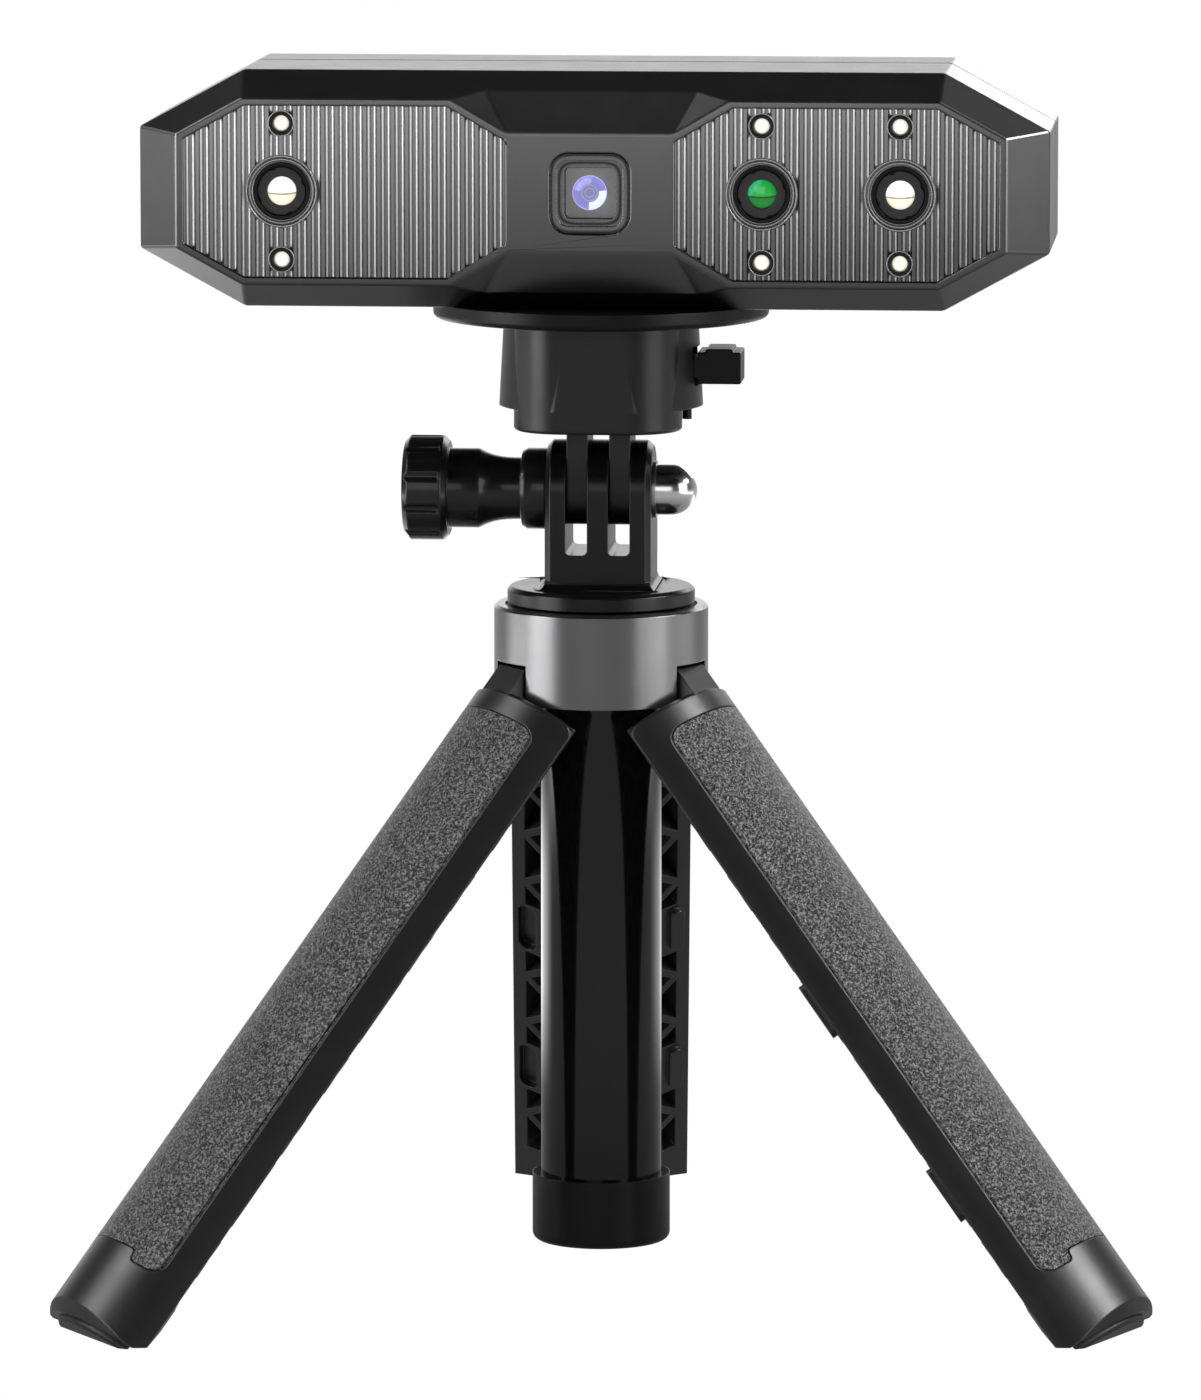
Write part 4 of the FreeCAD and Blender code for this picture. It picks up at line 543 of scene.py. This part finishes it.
# by material slot of the CAD nodes; lens_stop, the three fronts and ring_steps belong to pieces of the scene
materials = {
    "head_shell": grainMaterial("gunmetalShell", grey(0.165, 0.002), **shellLook),
    "head_back": grainMaterial("gunmetalBack", grey(0.165, 0.002), **shellLook),
    # painted shade: the ribbed panel darkens towards its bottom and towards its right
    "rib_panel": brushedMaterial("ribbedPanel", grey(0.265, 0.003), (1, 1, 0.02), depth=0.0000001, gloss=0.28,
                                 spread=0.03, tint=0.03, metallic=0.97, shade=(0.5, 1.35, 0.12)),
    "lens_barrel": grainMaterial("barrelBlack", grey(0.004, 0.0002), mottle=0.1, scale=6000.0, depth=0.000004,
                                 gloss=0.30, spread=0.08, specular=0.22),
    "lens_stop": grainMaterial("stopBlack", grey(0.036, 0.0005), mottle=0.1, scale=5200.0, depth=0.000006,
                               spread=0.08, specular=0.2),
    "left_front": frontLensMaterial("leftFrontLens", "leftCamera", **whiteLens),
    "right_front": frontLensMaterial("rightFrontLens", "rightCamera", **whiteLens),
    "green_front": frontLensMaterial("greenFrontLens", "projector", **greenLens),
    "ring_steps": steppedMaterial("ringSteps", grey(0.52, 0.005), grey(0.012, 0.0002), ringSteps, ringReach),
    "clear_lens": innerLensMaterial("violetLens"),
    "green_lens": glassMaterial("greenLens", (0.15, 0.85, 0.35)),
    "lamp_ring": grainMaterial("lampRing", grey(0.008), mottle=0.1, scale=6000.0, depth=0.000006, gloss=0.3,
                               specular=0.3),
    "lamp_dome": lampMaterial("lampDome"),
    "bezel": steppedMaterial("bezelGrey", grey(0.19, 0.002), grey(0.02, 0.0003), windowSteps, windowReach),
    "window": paneMaterial("windowPane"),
    "inner_frame": brushedMaterial("innerFrame", grey(0.4, 0.01), (1, 0.03, 1)),
    "sensor_can": grainMaterial("sensorCan", grey(0.03)),
    "circuit_board": grainMaterial("circuitBoard", (0.01, 0.07, 0.03), gloss=0.35),
    "socket_shell": brushedMaterial("socketSteel", grey(0.55, 0.01), drawn, gloss=0.28),
    "brass_insert": brushedMaterial("brassInsert", (0.6, 0.42, 0.16), turned),
    "screw": brushedMaterial("blackenedScrew", grey(0.08, 0.002), turned, gloss=0.35),
    "push_button": grainMaterial("buttonBlack", grey(0.02, 0.001), mottle=0.1, scale=3800.0, depth=0.00001,
                                 gloss=0.42),
    "switch": grainMaterial("switchBlack", grey(0.03)),
    "light_guide": grainMaterial("lightGuide", (0.45, 0.62, 0.5), mottle=0.05, scale=3000.0, depth=0.000004,
                                 gloss=0.15, spread=0.05, coat=0.5),
    "flange": grainMaterial("flangeBlack", grey(0.003, 0.0001), mottle=0.1, scale=4600.0, depth=0.000008,
                            gloss=0.36, wearAndHighlight=grey(0.03, 0.001), specular=0.2, soft=0.2),
    "flange_screw": brushedMaterial("flangeScrew", grey(0.5, 0.01), turned),
    "quick_release": grainMaterial("releaseBlack", grey(0.008, 0.0003), mottle=0.1, scale=5200.0,
                                   depth=0.000008, gloss=0.34, wearAndHighlight=blackWearAndHighlight, specular=0.4, soft=0.3),
    "latch": grainMaterial("latchBlack", grey(0.003, 0.0001), mottle=0.1, scale=5200.0, depth=0.00001,
                           gloss=0.36, wearAndHighlight=blackWearAndHighlight, specular=0.2),
    "spring": brushedMaterial("springSteel", grey(0.55, 0.01), (1, 1, 0.1)),
    "steel_pin": brushedMaterial("pinSteel", grey(0.5, 0.01), turned),
    "fork": grainMaterial("forkBlack", grey(0.004, 0.0001), mottle=0.1, scale=4800.0, depth=0.000008,
                          gloss=0.25, spread=0.08, wearAndHighlight=blackWearAndHighlight, specular=0.32),
    "thumbscrew": grainMaterial("anodisedKnob", grey(0.008, 0.0004), mottle=0.08, scale=5600.0,
                                depth=0.000003, gloss=0.25, spread=0.06, wearAndHighlight=grey(0.05, 0.002),
                                metallic=0.2, specular=0.4, coat=0.2),
    "bolt": brushedMaterial("boltSteel", grey(0.45, 0.01), drawn),
    "cap_nut": brushedMaterial("chromeNut", grey(0.74, 0.01), (1, 1, 1), scale=700.0, depth=0.0000008,
                               gloss=0.19, spread=0.05, tint=0.04),
    "washer": brushedMaterial("washerSteel", grey(0.55, 0.01), (1, 1, 1)),
    "pole": grainMaterial("poleBlack", grey(0.012, 0.0005), mottle=0.06, scale=5600.0, depth=0.000003,
                          gloss=0.16, spread=0.06, metallic=0.4),
    "bush": grainMaterial("bushBlack", grey(0.03)),
    "sleeve": grainMaterial("sleeveAnodised", grey(0.19, 0.003), mottle=0.08, scale=6200.0, depth=0.000005,
                            gloss=0.23, spread=0.06, wearAndHighlight=grey(0.4, 0.005), metallic=0.95, soft=0.15),
    "hub": grainMaterial("hubBlack", grey(0.010, 0.0002), specular=0.3),
    "column": grainMaterial("columnBlack", grey(0.006, 0.0002), mottle=0.05, scale=5600.0, depth=0.000002,
                            gloss=0.10, spread=0.03, metallic=0.1),
    "cap": grainMaterial("capBlack", grey(0.004, 0.0001), mottle=0.1, scale=5200.0, depth=0.00001, gloss=0.34,
                         specular=0.32, soft=0.2),
    "leg": grainMaterial("legPlastic", grey(0.009, 0.0003), scale=4800.0, depth=0.000012, gloss=0.36,
                         wearAndHighlight=grey(0.05, 0.002), specular=0.6, soft=0.3),
    "grip": leatherMaterial("gripLeather", grey(0.011, 0.0003), grey(0.275, 0.003), scale=3200.0,
                            depth=0.00022, gloss=0.5),
    "foot": grainMaterial("footRubber", grey(0.012, 0.0005), mottle=0.15, scale=3200.0, gloss=0.45),
}
slotOf = {row["node"]: row["material_slot"] for row in frame["record"]["subparts"]}
for nodeName, obj in nodes.items():
    obj.data.materials.clear()
    obj.data.materials.append(materials[slotOf[nodeName]])
nodes["latch_stop_pin"].data.materials[0] = materials["latch"]
print("stage: materials made,", len(materials))


# tools that make the pieces
def newPiece(name, data, material, body, *replaced):
    obj = bpy.data.objects.new(name, data)
    bpy.context.scene.collection.objects.link(obj)
    data.materials.clear()
    data.materials.append(material)
    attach(obj, body)
    if replaced:
        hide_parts(*replaced)
    return obj


# how close points are before they are welded, in metres, and how flat an edge is before it is dissolved, in
# degrees
weldCopy, weldGrid, flatAngle = 0.000002, 0.0000005, 0.4


def dressCopy(name, body, nodeName, width, angle, segments=3):
    # a welded copy of a CAD node with its flats dissolved and its sharp edges rounded by a live bevel
    data = nodes[nodeName].data.copy()
    data.name = name
    work = bmesh.new()
    work.from_mesh(data)
    bmesh.ops.remove_doubles(work, verts=work.verts, dist=weldCopy)
    bmesh.ops.dissolve_limit(work, angle_limit=math.radians(flatAngle), verts=work.verts, edges=work.edges)
    bmesh.ops.recalc_face_normals(work, faces=work.faces)
    work.to_mesh(data)
    work.free()
    for attribute in ("custom_normal", "sharp_edge", "sharp_face"):
        if attribute in data.attributes:
            data.attributes.remove(data.attributes[attribute])
    data.set_sharp_from_angle(angle=math.radians(angle))
    obj = newPiece(name, data, materials[slotOf[nodeName]], body, nodeName)
    bevel = obj.modifiers.new("roundedEdges", "BEVEL")
    bevel.width = width * mm
    bevel.segments = segments
    bevel.limit_method = "ANGLE"
    bevel.angle_limit = math.radians(angle)
    bevel.use_clamp_overlap = False
    bevel.harden_normals = True
    bevel.miter_outer = "MITER_ARC"


def gridMesh(name, points, smoothAngle):
    # rows by columns of points become quads, and the last column joins the first
    rows, columns = points.shape[:2]
    index = np.arange(rows * columns).reshape(rows, columns)
    index = np.concatenate([index, index[:, :1]], 1)
    quads = np.stack([index[:-1, :-1], index[:-1, 1:], index[1:, 1:], index[1:, :-1]], -1).reshape(-1, 4)
    data = bpy.data.meshes.new(name)
    data.from_pydata(points.reshape(-1, 3), [], quads.tolist())
    work = bmesh.new()
    work.from_mesh(data)
    bmesh.ops.remove_doubles(work, verts=work.verts, dist=weldGrid)
    bmesh.ops.dissolve_degenerate(work, edges=work.edges, dist=weldGrid)
    work.to_mesh(data)
    work.free()
    data.shade_smooth()
    data.set_sharp_from_angle(angle=math.radians(smoothAngle))
    return data


def turnedPoints(profile, centre, around, wobble=None):
    # a profile of (radius, depth behind the front face) carried round the lens axis through centre (x, z);
    # wobble(angle, profile) scales each row's radius by its own amount at each angle
    profile = np.asarray(profile, float)
    angle = np.linspace(0, 2 * math.pi, around, endpoint=False)
    radius = profile[:, 0:1] * np.ones_like(angle)
    if wobble is not None:
        radius = radius * wobble(angle[None, :], profile)
    x = centre[0] + radius * np.cos(angle)
    z = centre[1] + radius * np.sin(angle)
    y = head["frontFace"] + profile[:, 1:2] + 0 * x
    return headToWorld(np.stack([x, y, z], -1))


def turnedPiece(name, profile, centre, material, *replaced, around, smoothAngle, wobble=None):
    data = gridMesh(name, turnedPoints(profile, centre, around, wobble), smoothAngle)
    newPiece(name, data, materials[material], "head", *replaced)


def closed(profile):
    return profile + profile[:1]


# optics: each barrel with its stepped rings and notched stop, and its front lens; profiles are rows of radius
# and depth
optics = {
    "nodeStems": {"leftCamera": "left_camera", "projector": "projector", "rightCamera": "right_camera"},
    "lensMaterials": {"leftCamera": "left_front", "projector": "green_front", "rightCamera": "right_front"},
    "rings": [(4.93, 0.66), (4.93, 0.30), (4.86, 0.22), (4.74, 0.22), (4.68, 0.30), (4.64, 0.56),
              (4.52, 0.60), (4.46, 0.44), (4.40, 0.36), (4.28, 0.36), (4.22, 0.44), (4.18, 0.62),
              (4.06, 0.66), (4.02, 0.52), (3.96, 0.50), (3.96, 0.9), (4.93, 0.9)],
    "barrel": [(3.92, 0.9), (3.92, 0.52), (3.84, 0.44), (3.60, 0.42), (3.46, 0.46), (3.38, 0.56),
               (3.34, 0.98), (3.28, 1.05), (3.28, 1.4), (2.0, 1.4), (2.0, 10.3), (3.65, 10.3)],
    "stopRim": 3.26, "stopDepth": 0.72, "stopBore": 2.0,
    "notchDepth": 0.09, "notchCount": 4, "notchTurn": 0.35, "notchPower": 40,
    "lensRadius": 1.95, "lensDepth": 1.12, "lensRise": 0.34, "lensEdge": 0.4,
}


def notched(angle, profile):
    # radius dips at evenly spaced angles on the rows near the rim: a cosine raised to a high power
    wave = np.abs(np.cos(optics["notchCount"] * (angle - optics["notchTurn"]) / 2)) ** optics["notchPower"]
    near = np.clip((profile[:, 0:1] - optics["stopBore"]) / (optics["stopRim"] - optics["stopBore"]), 0, 1)
    return 1 - optics["notchDepth"] * wave * near ** 2


def makeOptics():
    rim, depth, bore = optics["stopRim"], optics["stopDepth"], optics["stopBore"]
    stop = closed([(rim, depth + 0.25), (rim, depth + 0.04), (rim - 0.05, depth), (bore + 0.12, depth + 0.02),
                   (bore, depth + 0.12), (bore, depth + 0.5), (rim, depth + 0.5)])
    # the lens face bulges by its rise times one less the square of the share of the radius
    share = np.linspace(0, 1, 24)
    radius, back = optics["lensRadius"], optics["lensDepth"] + optics["lensEdge"]
    face = np.column_stack([radius * share, optics["lensDepth"] - optics["lensRise"] * (1 - share * share)])
    dome = np.vstack([face, [(radius, back), (0, back)]])
    for label, nodeStem in optics["nodeStems"].items():
        centre = (lensCentres[label], 0.0)
        turnedPiece(label + "Barrel", closed(optics["barrel"]), centre, "lens_barrel", nodeStem + "_barrel",
                    around=128, smoothAngle=25.0)
        turnedPiece(label + "Rings", closed(optics["rings"]), centre, "ring_steps", around=128,
                    smoothAngle=25.0)
        turnedPiece(label + "Stop", stop, centre, "lens_stop", around=160, smoothAngle=30.0, wobble=notched)
        turnedPiece(label + "Lens", dome, centre, optics["lensMaterials"][label], nodeStem + "_glass",
                    around=96, smoothAngle=50.0)
    print("stage: lens barrels, stops and lenses")


# the small lamps above and below each lens: a ring, a clear dome in it and a thin collar round it
headLamps = {"offset": 9.3, "ringOuter": 1.64, "ringInner": 1.08, "collarInner": 1.62, "collarOuter": 1.82,
             "depth": 2.3, "domeRadius": 1.06, "domeFoot": 0.9, "domeRise": 0.72, "around": 64,
             "domeAround": 48, "smoothAngle": 40.0}


def joinedPieces(name, profile, centres, around, node):
    # the same turned shape at every centre, in one piece
    work = bmesh.new()
    for centre in centres:
        part = gridMesh(name + "Part", turnedPoints(profile, centre, around), headLamps["smoothAngle"])
        work.from_mesh(part)
        bpy.data.meshes.remove(part)
    data = bpy.data.meshes.new(name)
    work.to_mesh(data)
    work.free()
    newPiece(name, data, materials[slotOf[node]], "head", node)


def makeLamps():
    inner, outer, depth = headLamps["ringInner"], headLamps["ringOuter"], headLamps["depth"]
    ring = closed([(outer, depth), (outer, 0.14), (outer - 0.08, 0.06), (inner + 0.16, 0.06),
                   (inner + 0.04, 0.16), (inner, 0.34), (inner, depth)])
    turn = np.linspace(0, 1, 20) * math.pi / 2
    radius = headLamps["domeRadius"]
    face = np.column_stack([radius * np.sin(turn),
                            headLamps["domeFoot"] - headLamps["domeRise"] * np.cos(turn)])
    dome = np.vstack([face, [(radius, depth), (0, depth)]])
    places = {}
    for label, x in lensCentres.items():
        stem = label.replace("Camera", "")
        places[stem + "Upper"] = (x, headLamps["offset"])
        places[stem + "Lower"] = (x, -headLamps["offset"])
    joinedPieces("lampRings", ring, places.values(), headLamps["around"], "lamp_rings")
    joinedPieces("lampDomes", dome, places.values(), headLamps["domeAround"], "lamp_domes")
    outer, inner = headLamps["collarOuter"], headLamps["collarInner"]
    collar = closed([(outer, 0.5), (outer, 0.1), (outer - 0.05, 0.04), (inner + 0.05, 0.04), (inner, 0.1),
                     (inner, 0.5)])
    for stem, centre in places.items():
        turnedPiece(stem + "LampCollar", collar, centre, "ring_steps", around=headLamps["around"],
                    smoothAngle=headLamps["smoothAngle"])
    print("stage: lamps")


# rounded copies of the moulded and machined pieces: body, node, width of the rounded edge in millimetres and
# the least angle between faces that is rounded, in degrees
roundedPieces = {
    "frontHousing": ("head", "front_shell", 0.32, 12.0),
    "rearHousing": ("head", "rear_cover", 0.3, 12.0),
    "windowFrame": ("head", "window_bezel", 0.07, 32.0),
    "releaseButton": ("latch", "release_latch", 0.22, 32.0),
    "pushButton": ("button", "function_button", 0.15, 32.0),
    "knuckleFork": ("fork", "fork_mount", 0.15, 32.0),
    "clampKnob": ("thumbscrew", "thumbscrew_knob", 0.16, 32.0),
}
# the same on each leg, by the endings of the piece's and the node's names
roundedLegPieces = {"Grip": ("_grip", 0.12), "FootPad": ("_foot_pad", 0.15)}


def makeRoundedPieces():
    for name, values in roundedPieces.items():
        dressCopy(name, *values)
    for leg, stem in (("rear", "rear"), ("front_left", "frontLeft"), ("front_right", "frontRight")):
        for ending, (nodeEnding, width) in roundedLegPieces.items():
            dressCopy(stem + ending, leg + "_leg_body", leg + nodeEnding, width, 35.0, segments=2)
    print("stage: rounded copies")


makeOptics()
makeLamps()
makeRoundedPieces()


# camera, lamps and floor
camera = {"distance": 1350.0, "pitch": math.radians(7.8), "aimHeight": hingeHeight - 4.02, "side": -0.1,
          "focalPixels": 9720.0, "photoHeight": 1400.0, "sensor": 36.0, "clipStart": 0.05, "clipEnd": 20.0}


def makeCamera():
    data = bpy.data.cameras.new("photoCamera")
    data.sensor_fit = "VERTICAL"
    data.sensor_height = camera["sensor"]
    data.lens = camera["focalPixels"] * camera["sensor"] / camera["photoHeight"]
    data.clip_start = camera["clipStart"]
    data.clip_end = camera["clipEnd"]
    obj = bpy.data.objects.new("photoCamera", data)
    bpy.context.scene.collection.objects.link(obj)
    away, pitch = camera["distance"], camera["pitch"]
    obj.location = (camera["side"] * mm, -away * math.cos(pitch) * mm,
                    (camera["aimHeight"] + away * math.sin(pitch)) * mm)
    obj.rotation_euler = (math.pi / 2 - pitch, 0, 0)
    bpy.context.scene.camera = obj


# place, aim, size in metres and power in watts
studioLamps = {
    "leftBox": ((-0.72, -0.30, 0.15), (0, 0, 0.11), (0.40, 0.6), 3.4),
    "rightBox": ((0.62, -0.42, 0.18), (0, 0, 0.11), (0.50, 0.66), 2.6),
    "keyBox": ((-0.25, -1.1, 0.30), (0, 0, 0.13), (0.6, 0.35), 0.9),
    "upperRight": ((0.62, -0.06, 0.60), (0.05, -0.035, 0.03), (0.32, 0.32), 5.4),
    "upperLeft": ((-0.62, -0.06, 0.60), (-0.05, -0.035, 0.03), (0.32, 0.32), 2.3),
    "topGlow": ((0.17, 0.30, 0.245), (0.05, 0, 0.17), (0.16, 0.10), 0.12),
}


def makeStudioLamps():
    for name, (place, aim, size, power) in studioLamps.items():
        data = bpy.data.lights.new(name, "AREA")
        data.shape = "RECTANGLE"
        data.size, data.size_y = size
        data.energy = power
        obj = bpy.data.objects.new(name, data)
        bpy.context.scene.collection.objects.link(obj)
        obj.location = place
        obj.rotation_euler = (Vector(aim) - Vector(place)).to_track_quat("-Z", "Y").to_euler()
        obj.visible_camera = False


# each row is a range of direction and the brightness at its two ends
room = {"cove": (-0.1, 0.55, 0.07, 1.0), "aside": (0.25, 0.62, 1.4, 0.35), "ceiling": (0.22, 0.5, 1.0, 0.01)}


def makeWorld():
    # a white cove behind that ends a little above eye level, a black ceiling and dim grey in front
    world = bpy.data.worlds.new("studioWorld")
    bpy.context.scene.world = world
    world.use_nodes = True
    tree = world.node_tree
    tree.nodes.clear()
    x, y, z = splitVector(tree, tree.nodes.new("ShaderNodeTexCoord").outputs["Generated"])
    strength = times(tree, rangeNode(tree, y, *room["cove"]),
                     rangeNode(tree, mathNode(tree, "ABSOLUTE", x), *room["aside"]),
                     rangeNode(tree, z, *room["ceiling"]))
    walls, white = [fill(tree, tree.nodes.new("ShaderNodeBackground"), Color=grey(1.0), Strength=level)
                    for level in (strength, 1.0)]
    rays = tree.nodes.new("ShaderNodeLightPath").outputs
    mix = tree.nodes.new("ShaderNodeMixShader")
    seen = mathNode(tree, "MAXIMUM", rays["Is Camera Ray"], rays["Is Transmission Ray"])
    for index, value in enumerate((seen, walls.outputs[0], white.outputs[0])):
        feed(tree, mix.inputs[index], value)
    fill(tree, tree.nodes.new("ShaderNodeOutputWorld"), Surface=mix.outputs[0])


# what the floor shows to mirror rays: in front, in a ring behind the tripod and in a patch at each side; the
# starts and ends are metres from the tripod, and the turns are the share of that distance that lies behind or
# to the right
floorGlow = {
    "front": 0.45, "behindLeft": 2.2, "behindRight": 1.0, "leftPatch": 3.8, "rightPatch": 1.6,
    "halfSide": 6.0, "behindTurn": (0.30, 0.62), "ringStart": (0.16, 0.26), "ringEnd": (0.38, 0.50, 1.0, 0.03),
    "middle": (-0.1, 0.1), "frontStart": (0.02, 0.22), "leftTurn": (-0.95, -0.70), "rightTurn": (0.72, 0.92),
    "patchStart": (0.42, 0.55), "patchEnd": (0.75, 0.95, 1.0, 0.0),
}


def makeFloor():
    half = floorGlow["halfSide"]
    data = bpy.data.meshes.new("floor")
    corners = [(-half, -half, 0), (half, -half, 0), (half, half, 0), (-half, half, 0)]
    data.from_pydata(corners, [], [(0, 1, 2, 3)])
    obj = bpy.data.objects.new("floor", data)
    bpy.context.scene.collection.objects.link(obj)
    material, tree, shader = newMaterial("paleFloor")
    fill(tree, shader, Base_Color=grey(0.8), Roughness=0.9, Specular_IOR_Level=0.1)
    x, y = splitVector(tree, objectPlace(tree))[:2]
    away = mathNode(tree, "SQRT", plus(tree, times(tree, x, x), times(tree, y, y)))
    behind = rangeNode(tree, mathNode(tree, "DIVIDE", y, away), *floorGlow["behindTurn"])
    ring = times(tree, behind, rangeNode(tree, away, *floorGlow["ringStart"]),
                 rangeNode(tree, away, *floorGlow["ringEnd"]),
                 rangeNode(tree, x, *floorGlow["middle"], floorGlow["behindLeft"], floorGlow["behindRight"]))
    front = rangeNode(tree, away, *floorGlow["frontStart"], floorGlow["front"] / 2, floorGlow["front"])
    across = mathNode(tree, "DIVIDE", x, away)
    sides = plus(tree, rangeNode(tree, across, *floorGlow["leftTurn"], floorGlow["leftPatch"], 0.0),
                 rangeNode(tree, across, *floorGlow["rightTurn"], 0.0, floorGlow["rightPatch"]))
    patches = times(tree, sides, minus(tree, 1.0, behind), rangeNode(tree, away, *floorGlow["patchStart"]),
                    rangeNode(tree, away, *floorGlow["patchEnd"]))
    rays = tree.nodes.new("ShaderNodeLightPath").outputs
    mirrored = times(tree, plus(tree, ring, front, patches), rays["Is Glossy Ray"])
    strength = plus(tree, mirrored, rays["Is Camera Ray"])
    glow = fill(tree, tree.nodes.new("ShaderNodeEmission"), Strength=strength)
    mix = tree.nodes.new("ShaderNodeMixShader")
    seen = mathNode(tree, "ADD", rays["Is Camera Ray"], rays["Is Glossy Ray"], clamp=True)
    for index, value in enumerate((seen, shader.outputs[0], glow.outputs[0])):
        feed(tree, mix.inputs[index], value)
    fill(tree, tree.nodes["Material Output"], Surface=mix.outputs[0])
    data.materials.append(material)


makeCamera()
makeWorld()
makeFloor()
makeStudioLamps()
bpy.context.scene.view_settings.view_transform = "Standard"
print("stage: camera, lamps and floor")
